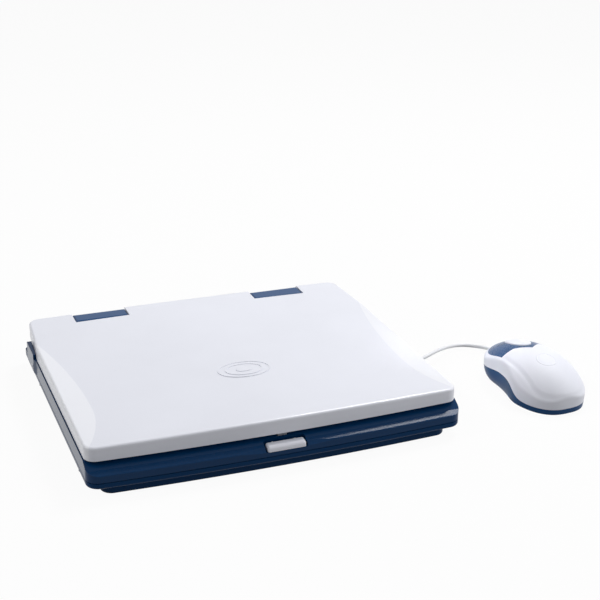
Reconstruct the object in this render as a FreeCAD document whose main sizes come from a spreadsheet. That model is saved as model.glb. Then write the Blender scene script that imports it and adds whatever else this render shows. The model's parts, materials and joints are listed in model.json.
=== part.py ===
import FreeCAD, Part
import math
import os
from types import SimpleNamespace

import Sketcher
from FreeCAD import Placement, Rotation, Vector

# Toy laptop computer, lid shut, with its corded mouse beside it.
# Millimetres. The origin is the centre of the bottom tray's underside, on the table.
# +X is the laptop's right, +Y its hinge side, +Z up.

SIZES = {
    # Lid
    "lid_width": 295.2,
    "lid_depth": 243.5,
    "lid_front_bow": 4.5,
    "lid_draw_in": 4.0,
    "lid_draw_length": 60.0,
    "lid_side_height": 12.6,
    "lid_crown": 1.2,
    "lid_front_drop": 1.9,
    "lid_skin": 2.2,
    "lid_edge_round": 2.0,
    "lid_front_corner": 9.0,
    "lid_rear_corner": 9.0,
    "emblem_length": 44.0,
    "emblem_depth": 29.0,
    "emblem_ahead": 36.0,
    "emblem_ring": 1.6,
    "emblem_height": 0.4,
    # Base
    "base_side_reach": 0.8,
    "base_front_reach": 8.3,
    "base_rear_inset": 1.0,
    "base_front_corner": 10.0,
    "base_rear_corner": 6.0,
    "rim_round": 1.0,
    "rim_under_round": 2.0,
    "tray_height": 7.5,
    "tray_side_inset": 11.0,
    "tray_front_inset": 5.0,
    "tray_rear_inset": 14.0,
    "tray_corner": 9.0,
    "tray_round": 1.5,
    "lower_wall": 5.2,
    "seam_gap": 0.6,
    "seam_depth": 0.8,
    "upper_wall": 5.9,
    "ledge_depth": 5.6,
    "ledge_rise": 1.7,
    "slope_depth": 9.0,
    "slope_rise": 4.7,
    "scoop_half": 44.0,
    "scoop_dip": 2.6,
    "case_wall": 2.2,
    "case_floor": 2.4,
    "lid_gap": 1.0,
    "fairing_start": 57.0,
    "fairing_run": 11.0,
    "fairing_reach": 1.4,
    "fairing_rise": 3.0,
    "fairing_gap": 0.5,
    # Hinges
    "hinge_from_rear": 9.7,
    "hinge_rise": 3.4,
    "hinge_from_side": 42.4,
    "hinge_cover_width": 46.4,
    "hinge_side_gap": 0.6,
    "hinge_swing_gap": 0.4,
    "hinge_cover_sink": 0.5,
    "hinge_pin_radius": 2.0,
    "hinge_pin_play": 0.05,
    "hinge_pin_reach": 4.5,
    "knuckle_width": 5.5,
    "knuckle_radius": 5.0,
    "hinge_end_bevel": 1.4,
    "hinge_front_round": 2.4,
    "hinge_rear_round": 5.0,
    "shelf_gap": 0.9,
    # Inner face of the lid
    "bezel_recess": 0.4,
    "bezel_skin": 2.0,
    "bezel_fit": 0.3,
    "screen_width": 154.0,
    "screen_depth": 96.0,
    "screen_ahead": 4.0,
    "window_lip": 4.0,
    "window_thick": 1.0,
    "panel_thick": 4.0,
    "lid_boss_radius": 3.6,
    "lid_boss_inset": 14.0,
    "bumper_radius": 3.0,
    "bumper_gap": 0.1,
    "bumper_inset": 10.0,
    # Keyboard
    "keyboard_width": 252.0,
    "keyboard_front": 52.0,
    "keyboard_rear": 84.0,
    "plate_lip": 4.0,
    "plate_thick": 1.8,
    "mat_thick": 1.0,
    "mat_margin": 2.0,
    "key_columns": 13,
    "key_rows": 5,
    "key_side_margin": 5.1,
    "row_pitch": 17.0,
    "key_front_margin": 3.0,
    "key_gap": 3.2,
    "key_play": 0.4,
    "key_stand": 0.2,
    "key_taper": 0.9,
    "space_columns": 5,
    "slot_count": 9,
    "slot_width": 2.0,
    "slot_length": 22.0,
    "slot_pitch": 4.4,
    "speaker_radius": 20.0,
    "speaker_rim": 2.5,
    "speaker_thick": 7.0,
    "magnet_radius": 11.0,
    "speaker_margin": 10.0,
    "board_width": 230.0,
    "board_front": 48.0,
    "board_rear": 30.0,
    "board_thick": 1.6,
    # Fasteners and feet
    "screw_radius": 1.4,
    "screw_head_radius": 2.8,
    "screw_head_height": 1.8,
    "screw_length": 11.0,
    "screw_recess": 0.2,
    "boss_radius": 3.6,
    "boss_from_side": 7.0,
    "screw_front": 105.0,
    "screw_middle": 15.0,
    "screw_rear": 88.0,
    "foot_radius": 4.0,
    "foot_from_side": 6.6,
    "foot_rear": 69.0,
    "foot_front": 85.0,
    # Batteries
    "cell_radius": 7.1,
    "cell_length": 50.5,
    "nub_radius": 2.7,
    "nub_length": 1.2,
    "cell_gap": 0.6,
    "box_wall": 1.6,
    "box_contact_room": 1.6,
    "contact_thick": 0.8,
    "contact_size": 9.0,
    "box_middle": 52.0,
    "door_thick": 1.6,
    "door_raise": 0.2,
    "door_lip": 3.0,
    "door_tongue": 10.0,
    "door_tongue_width": 14.0,
    "door_play": 0.3,
    # Latch
    "latch_width": 30.0,
    "latch_depth": 7.0,
    "latch_height": 4.4,
    "latch_proud": 0.4,
    "latch_round": 3.4,
    "latch_end_round": 1.5,
    "latch_play": 0.35,
    "latch_travel": 2.0,
    "latch_bed": 2.4,
    "recess_side": 1.5,
    "recess_corner": 2.0,
    "recess_room": 1.0,
    "spring_radius": 1.3,
    "spring_wall": 0.4,
    "spring_apart": 18.0,
    "spring_bore_depth": 3.4,
    "hook_width": 7.0,
    "hook_thick": 2.2,
    "hook_reach": 5.6,
    "hook_gap": 0.35,
    "hook_room": 1.2,
    # Sockets
    "socket_place": -19.0,
    "socket_height": 14.0,
    "socket_radius": 4.6,
    "socket_length": 17.0,
    "socket_bore": 3.4,
    "socket_depth": 11.0,
    "socket_proud": 0.5,
    "plug_play": 0.1,
    "plug_length": 10.0,
    "plug_grip_radius": 4.6,
    "plug_grip_length": 5.1,
    "boot_length": 7.0,
    "boot_radius": 3.4,
    "boot_tip_radius": 2.0,
    "jack_place": 72.0,
    "jack_height": 16.2,
    "jack_radius": 3.0,
    "jack_bore": 1.8,
    "jack_length": 12.0,
    "jack_depth": 10.0,
    "jack_proud": 0.4,
    # Mouse
    "mouse_x": 244.3,
    "mouse_y": -78.4,
    "mouse_heading": 4.0,
    "mouse_length": 101.0,
    "mouse_width": 63.0,
    "mouse_height": 37.0,
    "mouse_nose_narrowing": 1.5,
    "mouse_under_narrowing": 6.0,
    "mouse_narrowing_start": -15.0,
    "mouse_waist": 3.8,
    "mouse_waist_ahead": 10.0,
    "mouse_waist_run": 17.7,
    "mouse_belly": 14.0,
    "mouse_under_draw": 0.8,
    "mouse_top_draw": 0.8,
    "mouse_dome_sink": 6.0,
    "mouse_dome_ahead": 4.0,
    "mouse_dome_half_width": 41.5,
    "mouse_dome_half_length": 62.5,
    "mouse_edge_round": 4.0,
    "mouse_skin": 1.8,
    "mouse_floor": 2.0,
    "mouse_foot": 0.6,
    "mouse_foot_length": 24.0,
    "mouse_foot_width": 6.0,
    "mouse_foot_front": 36.0,
    "mouse_foot_rear": 40.0,
    "parting_rear": 5.2,
    "parting_crest": 16.2,
    "parting_nose": 9.5,
    "parting_climb": -13.0,
    "parting_climb_run": 8.0,
    "insert_inset": 2.8,
    "insert_low": 18.0,
    "insert_rear": 14.0,
    "insert_tip": 5.0,
    "insert_neck": 13.0,
    "button_length": 30.0,
    "button_width": 17.0,
    "button_ahead": 26.0,
    "button_play": 0.35,
    "button_proud": 0.7,
    "button_round": 0.6,
    "button_flange": 1.5,
    "button_travel": 0.8,
    "switch_size": 6.5,
    "switch_gap": 0.2,
    "plunger_radius": 2.2,
    "mouse_board_width": 34.0,
    "mouse_board_front": 36.0,
    "mouse_board_rear": 18.0,
    "mouse_board_height": 5.0,
    "mouse_board_thick": 1.6,
    "mouse_post_radius": 2.2,
    "mouse_post_inset": 4.0,
    "lens_radius": 4.0,
    "lens_ahead": 2.0,
    "lens_raise": 0.3,
    "mouse_screw_rear": 32.0,
    "mouse_screw_length": 9.0,
    "mouse_boss_radius": 3.4,
    "grommet_height": 11.2,
    "grommet_collar": 4.0,
    "grommet_neck": 2.6,
    "grommet_radius": 3.4,
    "grommet_tip_radius": 2.0,
    "grommet_length": 8.0,
    "grommet_hold": 4.0,
    "grommet_web": 2.2,
    # Cord
    "cord_diameter": 3.2,
    "cord_exit_run": 5.2,
}

doc = FreeCAD.newDocument("toy_laptop")
sheet = doc.addObject("Spreadsheet::Sheet", "Sizes")
for row, (alias, number) in enumerate(SIZES.items(), start=1):
    sheet.set(f"A{row}", alias)
    sheet.set(f"B{row}", str(number))
    sheet.setAlias(f"B{row}", alias)
doc.recompute()


class Size:
    """A length with its expression on the sheet and its present value."""

    def __init__(self, text, value):
        self.text = text
        self.value = float(value)

    @staticmethod
    def of(other):
        if isinstance(other, Size):
            return other
        return Size(repr(float(other)), other)

    def __add__(self, other):
        other = Size.of(other)
        return Size(f"({self.text} + {other.text})", self.value + other.value)

    def __sub__(self, other):
        other = Size.of(other)
        return Size(f"({self.text} - {other.text})", self.value - other.value)

    def __mul__(self, other):
        other = Size.of(other)
        return Size(f"({self.text} * {other.text})", self.value * other.value)

    def __truediv__(self, other):
        other = Size.of(other)
        return Size(f"({self.text} / {other.text})", self.value / other.value)

    def __radd__(self, other):
        return Size.of(other) + self

    def __rsub__(self, other):
        return Size.of(other) - self

    def __rmul__(self, other):
        return Size.of(other) * self

    def __neg__(self):
        return Size(f"(0 - {self.text})", -self.value)

    def __float__(self):
        return self.value


ZERO = Size.of(0)


def root(size):
    """Square root of a size."""
    return Size(f"sqrt({size.text})", math.sqrt(size.value))


def slope(rise, run):
    """Angle of a slope, in degrees."""
    return Size(f"atan({rise.text} / {run.text})", math.degrees(math.atan(rise.value / run.value)))


s = SimpleNamespace(**{alias: Size(f"Sizes.{alias}", sheet.get(alias)) for alias in SIZES})


# Levels above the table
seam = s.tray_height + s.lower_wall
rim_top = seam + s.upper_wall
ledge_top = rim_top + s.ledge_rise
deck = ledge_top + s.slope_rise
lid_bottom = deck + s.lid_gap
lid_shoulder = lid_bottom + s.lid_side_height
lid_top = lid_shoulder + s.lid_crown
lid_ceiling = lid_shoulder - s.lid_skin
deck_under = deck - s.case_wall
plate_under = deck_under - s.plate_thick
mat_under = plate_under - s.mat_thick
board_under = mat_under - s.board_thick
bezel_face = lid_bottom + s.bezel_recess
bezel_back = bezel_face + s.bezel_skin

# Plan positions. The front edges of lid, lip, ledge and tray are arcs about one point.
lid_half = s.lid_width / 2
lid_rear_half = lid_half - s.lid_draw_in
lid_rear = s.lid_depth / 2
lid_draw_start = lid_rear - s.lid_draw_length
front_radius = (lid_half * lid_half + s.lid_front_bow * s.lid_front_bow) / (2 * s.lid_front_bow)
front_centre = front_radius - s.lid_front_bow - lid_rear
base_half = lid_half + s.base_side_reach
base_rear = lid_rear - s.base_rear_inset
base_radius = front_radius + s.base_front_reach
slope_radius = base_radius - s.ledge_depth - s.slope_depth
base_front = front_centre - base_radius

# Hinge line and the room that the lid's rear edge sweeps
hinge_y = lid_rear - s.hinge_from_rear
hinge_z = lid_bottom + s.hinge_rise
sweep_rise = lid_top - hinge_z
sweep_radius = root(s.hinge_from_rear * s.hinge_from_rear + sweep_rise * sweep_rise)
hinge_outer = lid_half - s.hinge_from_side
hinge_inner = hinge_outer - s.hinge_cover_width
notch_inner = hinge_inner - s.hinge_side_gap
notch_outer = hinge_outer + s.hinge_side_gap
shelf_top = hinge_z - sweep_radius - s.shelf_gap
recess_wall = hinge_y - sweep_radius - s.shelf_gap

# Latch, at the middle of the bowed front
lid_front = front_centre - front_radius
latch_front = base_front - s.latch_proud
latch_back = latch_front + s.latch_depth
recess_back = latch_back + s.latch_travel + s.recess_room
recess_floor = rim_top - s.latch_bed
hook_front = lid_front + s.lid_skin + s.bezel_fit + s.hook_gap

# Keyboard opening and the cells' bay
keyboard_x = (-s.keyboard_width / 2, s.keyboard_width / 2)
keyboard_y = (-s.keyboard_front, s.keyboard_rear)
key_front = s.key_front_margin - s.keyboard_front
key_pitch = (s.keyboard_width - 2 * s.key_side_margin) / s.key_columns
cell_axis = s.case_floor + s.cell_gap + s.cell_radius
cells_top = cell_axis + s.cell_radius + s.cell_gap
cells_half_x = s.cell_length + s.cell_gap + s.box_contact_room
cells_half_y = 2 * s.cell_radius + 3 * s.cell_gap / 2
cells_x = (-cells_half_x, cells_half_x)
cells_y = (s.box_middle - cells_half_y, s.box_middle + cells_half_y)
door_screw_place = (ZERO, cells_y[0] - s.door_lip - s.door_tongue / 2)
door_boss_top = s.case_floor + s.screw_length / 2

# Case screws and the plug's ends
screw_low = s.tray_height + s.screw_recess
screw_top = screw_low + s.screw_head_height + s.screw_length
grip_end = base_half + s.socket_proud + s.plug_grip_length
boot_end = grip_end + s.boot_length

mouse_screw_low = s.mouse_foot + s.screw_recess
mouse_screw_top = mouse_screw_low + s.screw_head_height / 2 + s.mouse_screw_length

# Turn of the front lip's profile about the front edges' centre, and slant of the dip under the latch
LIP_SWEEP = 40
SCOOP_TILT = 42
YZ_TURN = Rotation(Vector(0, 1, 0), 90)
AXIS_TURN = {"x": YZ_TURN, "y": Rotation(Vector(1, 0, 0), -90), "z": Rotation()}


def bind(item, prop, size):
    """Tie a property to an expression on the sheet."""
    item.setExpression(prop, Size.of(size).text)


def box(name, x, y, z):
    """Block between the low and high values given for each axis."""
    item = doc.addObject("Part::Box", name)
    for side, axis, (low, high) in zip(("Length", "Width", "Height"), "xyz", (x, y, z)):
        bind(item, side, Size.of(high) - low)
        bind(item, f"Placement.Base.{axis}", low)
    return item


def rod(name, axis, radius, centre, span):
    """Cylinder along an axis. The centre holds its two other coordinates."""
    item = doc.addObject("Part::Cylinder", name)
    item.Placement = Placement(Vector(), AXIS_TURN[axis])
    low, high = span
    bind(item, "Radius", radius)
    bind(item, "Height", Size.of(high) - low)
    bind(item, f"Placement.Base.{axis}", low)
    for other, place in zip("xyz".replace(axis, ""), centre):
        bind(item, f"Placement.Base.{other}", place)
    return item


def cone(name, axis, radii, centre, span):
    """Cone along an axis, with its radius at the low and high end."""
    item = doc.addObject("Part::Cone", name)
    item.Placement = Placement(Vector(), AXIS_TURN[axis])
    low, high = span
    bind(item, "Radius1", radii[0])
    bind(item, "Radius2", radii[1])
    bind(item, "Height", Size.of(high) - low)
    bind(item, f"Placement.Base.{axis}", low)
    for other, place in zip("xyz".replace(axis, ""), centre):
        bind(item, f"Placement.Base.{other}", place)
    return item


def join(name, *items):
    """Pieces fused, or grouped where they lie apart."""
    item = doc.addObject("Part::MultiFuse", name)
    item.Shapes = list(items)
    return item


def group(name, *items):
    """Separate solids that share a node."""
    item = doc.addObject("Part::Compound", name)
    item.Links = list(items)
    return item


def cut(name, base, *tools):
    """A base less its tools."""
    item = doc.addObject("Part::Cut", name)
    item.Base = base
    item.Tool = tools[0] if len(tools) == 1 else join(name + "_tools", *tools)
    return item


def common(name, base, tool):
    """What a base and a tool share."""
    item = doc.addObject("Part::Common", name)
    item.Base = base
    item.Tool = tool
    return item


def rounded(name, base, radius, chosen):
    """A base with the chosen edges rounded."""
    doc.recompute()
    item = doc.addObject("Part::Fillet", name)
    item.Base = base
    edges = enumerate(base.Shape.Edges, start=1)
    item.Edges = [(number, float(radius), float(radius)) for number, edge in edges if chosen(edge)]
    return item


def middle(edge):
    """Middle point of an edge."""
    return edge.valueAt((edge.FirstParameter + edge.LastParameter) / 2)


def upright(edge):
    """Whether an edge runs mostly along Z."""
    ends = [vertex.Point for vertex in edge.Vertexes]
    if len(ends) < 2:
        return False
    run = ends[1] - ends[0]
    return abs(run.z) > 0.9 * run.Length


def new_body(name):
    return doc.addObject("PartDesign::Body", name)


def sketch_on(body, name, role, height, shift=None, tilt=None):
    """Sketch on an origin plane of its body, raised by a height, moved along its own X or tilted about it."""
    sketch = body.newObject("Sketcher::SketchObject", name)
    plane = next(item for item in body.Origin.OriginFeatures if item.Role == role)
    sketch.AttachmentSupport = (plane, [""])
    sketch.MapMode = "FlatFace"
    bind(sketch, "AttachmentOffset.Base.z", height)
    if shift is not None:
        bind(sketch, "AttachmentOffset.Base.x", shift)
    if tilt is not None:
        turn = Rotation(Vector(1, 0, 0), float(tilt))
        sketch.AttachmentOffset = Placement(Vector(0, 0, float(height)), turn)
        bind(sketch, "AttachmentOffset.Rotation.Angle", tilt)
    return sketch


def hold(sketch, kind, edge, point, size):
    """Dimension from the sketch origin to a point of an edge."""
    if size.value == 0 and size.text == "0.0":
        align = "Vertical" if kind == "DistanceX" else "Horizontal"
        sketch.addConstraint(Sketcher.Constraint(align, -1, 1, edge, point))
        return
    number = sketch.addConstraint(Sketcher.Constraint(kind, -1, 1, edge, point, size.value))
    sketch.setExpression(f"Constraints[{number}]", size.text)


def draw(sketch, corners, arcs=None):
    """Closed outline through corners. A corner's coordinate is a Size, or a number left free.

    An arc, listed under the number of its first corner, is (centre x, centre y, radius, turn), where
    turn is 1 for anticlockwise.
    """
    arcs = arcs or {}
    count = len(corners)
    first = sketch.GeometryCount
    points = [Vector(float(x), float(y), 0) for x, y in corners]
    starts = []
    ends = []
    for index, start in enumerate(points):
        end = points[(index + 1) % count]
        if index not in arcs:
            sketch.addGeometry(Part.LineSegment(start, end))
            starts.append(1)
            ends.append(2)
            continue
        centre_x, centre_y, radius, turn = arcs[index]
        centre = Vector(float(centre_x), float(centre_y), 0)
        angles = [math.atan2(p.y - centre.y, p.x - centre.x) for p in (start, end)]
        circle = Part.Circle(centre, Vector(0, 0, 1), float(radius))
        sketch.addGeometry(Part.ArcOfCircle(circle, *angles[::turn]))
        starts.append(1 if turn > 0 else 2)
        ends.append(2 if turn > 0 else 1)
    for index in range(count):
        after = (index + 1) % count
        sketch.addConstraint(
            Sketcher.Constraint("Coincident", first + index, ends[index], first + after, starts[after])
        )
    for index, (centre_x, centre_y, radius, turn) in arcs.items():
        hold(sketch, "DistanceX", first + index, 3, Size.of(centre_x))
        hold(sketch, "DistanceY", first + index, 3, Size.of(centre_y))
        number = sketch.addConstraint(Sketcher.Constraint("Radius", first + index, float(radius)))
        sketch.setExpression(f"Constraints[{number}]", Size.of(radius).text)
    for index, (x, y) in enumerate(corners):
        if isinstance(x, Size):
            hold(sketch, "DistanceX", first + index, starts[index], x)
        if isinstance(y, Size):
            hold(sketch, "DistanceY", first + index, starts[index], y)


def draw_box(sketch, x, y):
    """Rectangle between low and high values."""
    (left, right), (low, high) = [[Size.of(value) for value in pair] for pair in (x, y)]
    draw(sketch, [(left, low), (right, low), (right, high), (left, high)])


def draw_plan(sketch, radius, half, rear, draw_in=None):
    """Plan outline with a bowed front. Draw_in gives where the sides turn in, and the rear half width."""
    bow = float(radius) - math.sqrt(float(radius) ** 2 - float(half) ** 2)
    front = float(front_centre) - float(radius) + bow
    corners = [(-half, front), (half, front)]
    if draw_in is None:
        corners += [(half, rear), (-half, rear)]
    else:
        start, rear_half = draw_in
        corners += [(half, start), (rear_half, rear), (-rear_half, rear), (-half, start)]
    draw(sketch, corners, {0: (ZERO, front_centre, radius, 1)})


def feature(body, kind, name, sketch, length):
    """Pad or Pocket of a sketch."""
    item = body.newObject(f"PartDesign::{kind}", name)
    item.Profile = sketch
    bind(item, "Length", length)
    doc.recompute()
    return item


def soften(body, name, base, radius, chosen):
    """Fillet of the chosen edges of a body's feature."""
    doc.recompute()
    item = body.newObject("PartDesign::Fillet", name)
    edges = enumerate(base.Shape.Edges, start=1)
    item.Base = (base, [f"Edge{number}" for number, edge in edges if chosen(edge)])
    bind(item, "Radius", radius)
    doc.recompute()
    return item


def front_upright(edge):
    return upright(edge) and middle(edge).y < 0


def rear_upright(edge):
    return upright(edge) and middle(edge).y > float(lid_draw_start) + 1


def facing(shape, edge):
    """Upward parts of the normals of the faces that meet in an edge."""
    tilts = []
    for face in shape.ancestorsOfType(edge, Part.Face):
        u, v = face.Surface.parameter(middle(edge))
        tilts.append(face.normalAt(u, v).z)
    return tilts


def outer_rim(shape, low):
    """Test for edges above a level between a side wall and the top."""

    def chosen(edge):
        tilts = facing(shape, edge)
        return middle(edge).z > low and min(tilts) < 0.3 and max(tilts) > 0.7

    return chosen


def lid_side(y):
    """Half width of the lid's drawn-in stretch at a place along it."""
    return lid_half - (y - lid_draw_start) * s.lid_draw_in / s.lid_draw_length


def plan_block(name, plan, z, corners, draw_in=None):
    """Body of a bowed plan (radius, half width, rear) between two levels, its corners rounded."""
    body = new_body(name + "Body")
    sketch = sketch_on(body, name + "Plan", "XY_Plane", z[0])
    draw_plan(sketch, *plan, draw_in)
    block = feature(body, "Pad", name + "Block", sketch, z[1] - z[0])
    front = soften(body, name + "FrontCorners", block, corners[0], front_upright)
    soften(body, name + "RearCorners", front, corners[1], rear_upright)
    return body


def slab(name, corners, z):
    """Upright block of a given plan between two levels."""
    body = new_body(name + "Body")
    sketch = sketch_on(body, name + "Plan", "XY_Plane", z[0])
    draw(sketch, corners)
    feature(body, "Pad", name + "Block", sketch, z[1] - z[0])
    return body


pieces = {}


def keep(name, item):
    """Register a finished sub-part under its node's name."""
    item.Label = name
    pieces[name] = item
    return item


# Sizes of the plain oval rings on the lid, as shares of the outer one
EMBLEM_SHARES = (1.0, 0.72, 0.3)


# Lid shell. Its top falls gently from the hinge side to the front.
def lowered(level, y):
    """Height at a place along the lid of a level given at its rear edge."""
    return level - (lid_rear - y) * s.lid_front_drop / s.lid_depth


def make_lid_shell():
    body = new_body("LidShellBody")
    sketch = sketch_on(body, "LidPlan", "XY_Plane", lid_bottom)
    draw_plan(sketch, front_radius, lid_half, lid_rear, (lid_draw_start, lid_rear_half))
    block = feature(body, "Pad", "LidBlock", sketch, s.lid_side_height + s.lid_crown)
    corners = soften(body, "LidFrontCorners", block, s.lid_front_corner, front_upright)
    soften(body, "LidRearCorners", corners, s.lid_rear_corner, rear_upright)

    crown_radius = (lid_half * lid_half + s.lid_crown * s.lid_crown) / (2 * s.lid_crown)
    reach = s.lid_width
    drop = float(crown_radius) - math.sqrt(float(crown_radius) ** 2 - float(reach) ** 2)
    sketch = sketch_on(body, "CrownCut", "XZ_Plane", s.lid_depth, tilt=slope(s.lid_front_drop, s.lid_depth))
    apex = lowered(lid_top, -s.lid_depth)
    crown_corners = [
        (-reach, float(apex) - drop),
        (reach, float(apex) - drop),
        (reach, lid_top + s.lid_crown),
        (-reach, lid_top + s.lid_crown),
    ]
    draw(sketch, crown_corners, {0: (ZERO, apex - crown_radius, crown_radius, -1)})
    crown = feature(body, "Pocket", "Crown", sketch, 2 * s.lid_depth)

    low = float(lid_bottom + s.lid_side_height / 2)
    soften(body, "LidEdge", crown, s.lid_edge_round, outer_rim(crown.Shape, low))

    hollow = plan_block(
        "LidHollow",
        (front_radius - s.lid_skin, lid_half - s.lid_skin, lid_rear - s.lid_skin),
        (lid_bottom - s.lid_skin, lid_ceiling),
        (s.lid_front_corner - s.lid_skin, s.lid_rear_corner - s.lid_skin),
        (lid_draw_start, lid_rear_half - s.lid_skin),
    )
    sketch = sketch_on(hollow, "CeilingCut", "YZ_Plane", lid_half)
    ceiling_corners = [
        (-s.lid_depth, lowered(lid_ceiling, -s.lid_depth)),
        (s.lid_depth, lowered(lid_ceiling, s.lid_depth)),
        (s.lid_depth, lid_top),
        (-s.lid_depth, lid_top),
    ]
    draw(sketch, ceiling_corners)
    feature(hollow, "Pocket", "Ceiling", sketch, s.lid_width)
    shell = cut("LidWalls", body, hollow)

    inside = []
    openings = []
    for x, y in lid_boss_places():
        ceiling = lowered(lid_ceiling, y)
        span = (bezel_back, ceiling + s.lid_skin / 2)
        inside.append(rod("LidBoss", "z", s.lid_boss_radius, (x, y), span))
        openings.append(rod("LidPilot", "z", s.screw_radius, (x, y), (bezel_back - 1, ceiling)))
    block_front = hinge_y - sweep_radius - s.hinge_swing_gap - s.lid_skin
    for low_x, high_x in ((-notch_outer, -notch_inner), (notch_inner, notch_outer)):
        x = (low_x - s.knuckle_width, high_x + s.knuckle_width)
        y = (block_front, lid_rear - s.lid_skin / 2)
        inside.append(box("HingeBlock", x, y, (bezel_face, lid_ceiling + s.lid_skin / 2)))
        inside.append(rod("Knuckle", "x", s.knuckle_radius, (hinge_y, hinge_z), x))
        openings.append(rod("Notch", "x", sweep_radius, (hinge_y, hinge_z), (low_x, high_x)))
        y = (hinge_y, lid_rear + s.lid_skin)
        z = (lid_bottom - s.lid_skin, lid_top + s.lid_skin)
        openings.append(box("NotchRear", (low_x, high_x), y, z))
        reach = s.hinge_pin_reach + s.hinge_side_gap
        bore = s.hinge_pin_radius + s.hinge_pin_play
        openings.append(rod("PinBore", "x", bore, (hinge_y, hinge_z), (low_x - reach, high_x + reach)))

    rings = [emblem_ring(number, share) for number, share in enumerate(EMBLEM_SHARES)]
    solid = join("LidSolid", shell, *inside, *rings)
    keep("lid_shell", cut("LidShell", solid, *openings))


def oval_block(name, length, width, y, z, turn=0):
    """Upright block of oval plan at a place along Y, its length along X before it is turned."""
    oval = doc.addObject("Part::Ellipse", name + "Oval")
    oval.Placement = Placement(Vector(), Rotation(Vector(0, 0, 1), turn))
    bind(oval, "MajorRadius", length / 2)
    bind(oval, "MinorRadius", width / 2)
    bind(oval, "Placement.Base.y", y)
    bind(oval, "Placement.Base.z", z[0])
    block = doc.addObject("Part::Extrusion", name)
    block.Base = oval
    block.DirMode = "Normal"
    block.Solid = True
    bind(block, "LengthFwd", z[1] - z[0])
    return block


def emblem_ring(number, share):
    """One raised oval ring of the plain boss on the lid. The smallest is a filled oval."""
    level = lowered(lid_top, -s.emblem_ahead)
    z = (level - s.lid_skin / 2, level + s.emblem_height)
    length = s.emblem_length * share
    depth = s.emblem_depth * share
    outer = oval_block(f"EmblemOuter{number}", length, depth, -s.emblem_ahead, z)
    if number == len(EMBLEM_SHARES) - 1:
        return outer
    ring = 2 * s.emblem_ring
    inner = oval_block(f"EmblemInner{number}", length - ring, depth - ring, -s.emblem_ahead, z)
    return cut(f"EmblemRing{number}", outer, inner)


def lid_boss_places():
    """Plan places of the screws that hold the bezel in the lid."""
    x = lid_half - s.lid_boss_inset
    front = -lid_rear + s.lid_boss_inset
    rear = lid_draw_start
    return [(-x, front), (x, front), (-x, rear), (x, rear)]


# Inner face of the lid
def screen_box(name, margin, z):
    """Block over the screen opening, grown by a margin."""
    half = s.screen_width / 2 + margin
    depth = s.screen_depth / 2 + margin
    return box(name, (-half, half), (-s.screen_ahead - depth, -s.screen_ahead + depth), z)


def make_lid_inside():
    inset = s.lid_skin + s.bezel_fit
    body = plan_block(
        "LidBezel",
        (front_radius - inset, lid_half - inset, lid_rear - inset),
        (bezel_face, bezel_back),
        (s.lid_front_corner - inset, s.lid_rear_corner - inset),
        (lid_draw_start, lid_rear_half - inset),
    )
    pane_under = bezel_back - s.window_thick
    openings = [
        screen_box("ScreenOpening", ZERO, (bezel_face - 1, bezel_back + 1)),
        screen_box("PaneSeat", s.window_lip, (pane_under, bezel_back + 1)),
    ]
    block_front = hinge_y - sweep_radius - s.hinge_swing_gap - s.lid_skin - s.bezel_fit
    for side in (-1, 1):
        inner = notch_inner - s.knuckle_width - s.bezel_fit
        outer = notch_outer + s.knuckle_width + s.bezel_fit
        x = sorted((side * inner, side * outer), key=float)
        openings.append(box("HingeGap", x, (block_front, lid_rear + 1), (bezel_face - 1, bezel_back + 1)))
    for x, y in lid_boss_places():
        openings.append(rod("ScrewHole", "z", s.screw_radius, (x, y), (bezel_face - 1, bezel_back + 1)))
        openings.append(
            rod("HeadSeat", "z", s.screw_head_radius, (x, y), (bezel_face - 1, bezel_face + s.bezel_skin / 2))
        )
    keep("lid_bezel", cut("LidBezelPlate", body, *openings))
    keep("screen_window", screen_box("ScreenWindow", s.window_lip, (pane_under, bezel_back)))
    panel = screen_box("PanelGlass", s.window_lip, (bezel_back, bezel_back + s.panel_thick))
    keep("screen_panel", panel)

    screws = []
    for x, y in lid_boss_places():
        head_low = bezel_face + s.bezel_skin / 2 - s.screw_head_height / 2
        screws.append(screw("LidScrew", x, y, head_low, s.screw_head_height / 2, s.screw_length / 2))
    keep("lid_screws", group("LidScrews", *screws))

    bumpers = []
    for side in (-1, 1):
        for y in (-lid_rear + 2 * s.bumper_inset, lid_draw_start - s.bumper_inset):
            x = side * (lid_half - s.bumper_inset)
            span = (deck + s.bumper_gap, bezel_face)
            bumpers.append(rod("Bumper", "z", s.bumper_radius, (x, y), span))
    keep("lid_bumpers", group("LidBumpers", *bumpers))

    shank = box(
        "HookShank",
        (-s.hook_width / 2, s.hook_width / 2),
        (hook_front, hook_front + s.hook_thick),
        (lid_bottom - s.hook_reach, bezel_face),
    )
    nose = rod(
        "HookNose",
        "x",
        s.hook_thick / 2,
        (hook_front + s.hook_thick, lid_bottom - s.hook_reach + s.hook_thick / 2),
        (-s.hook_width / 2, s.hook_width / 2),
    )
    keep("latch_hook", join("LatchHook", shank, nose))


def screw(name, x, y, low, head, length):
    """Pan-head screw pointing up, its head's underside at a level."""
    head_part = rod(name + "Head", "z", s.screw_head_radius, (x, y), (low, low + head))
    shank = rod(name + "Shank", "z", s.screw_radius, (x, y), (low + head, low + head + length))
    return join(name, head_part, shank)


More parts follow.
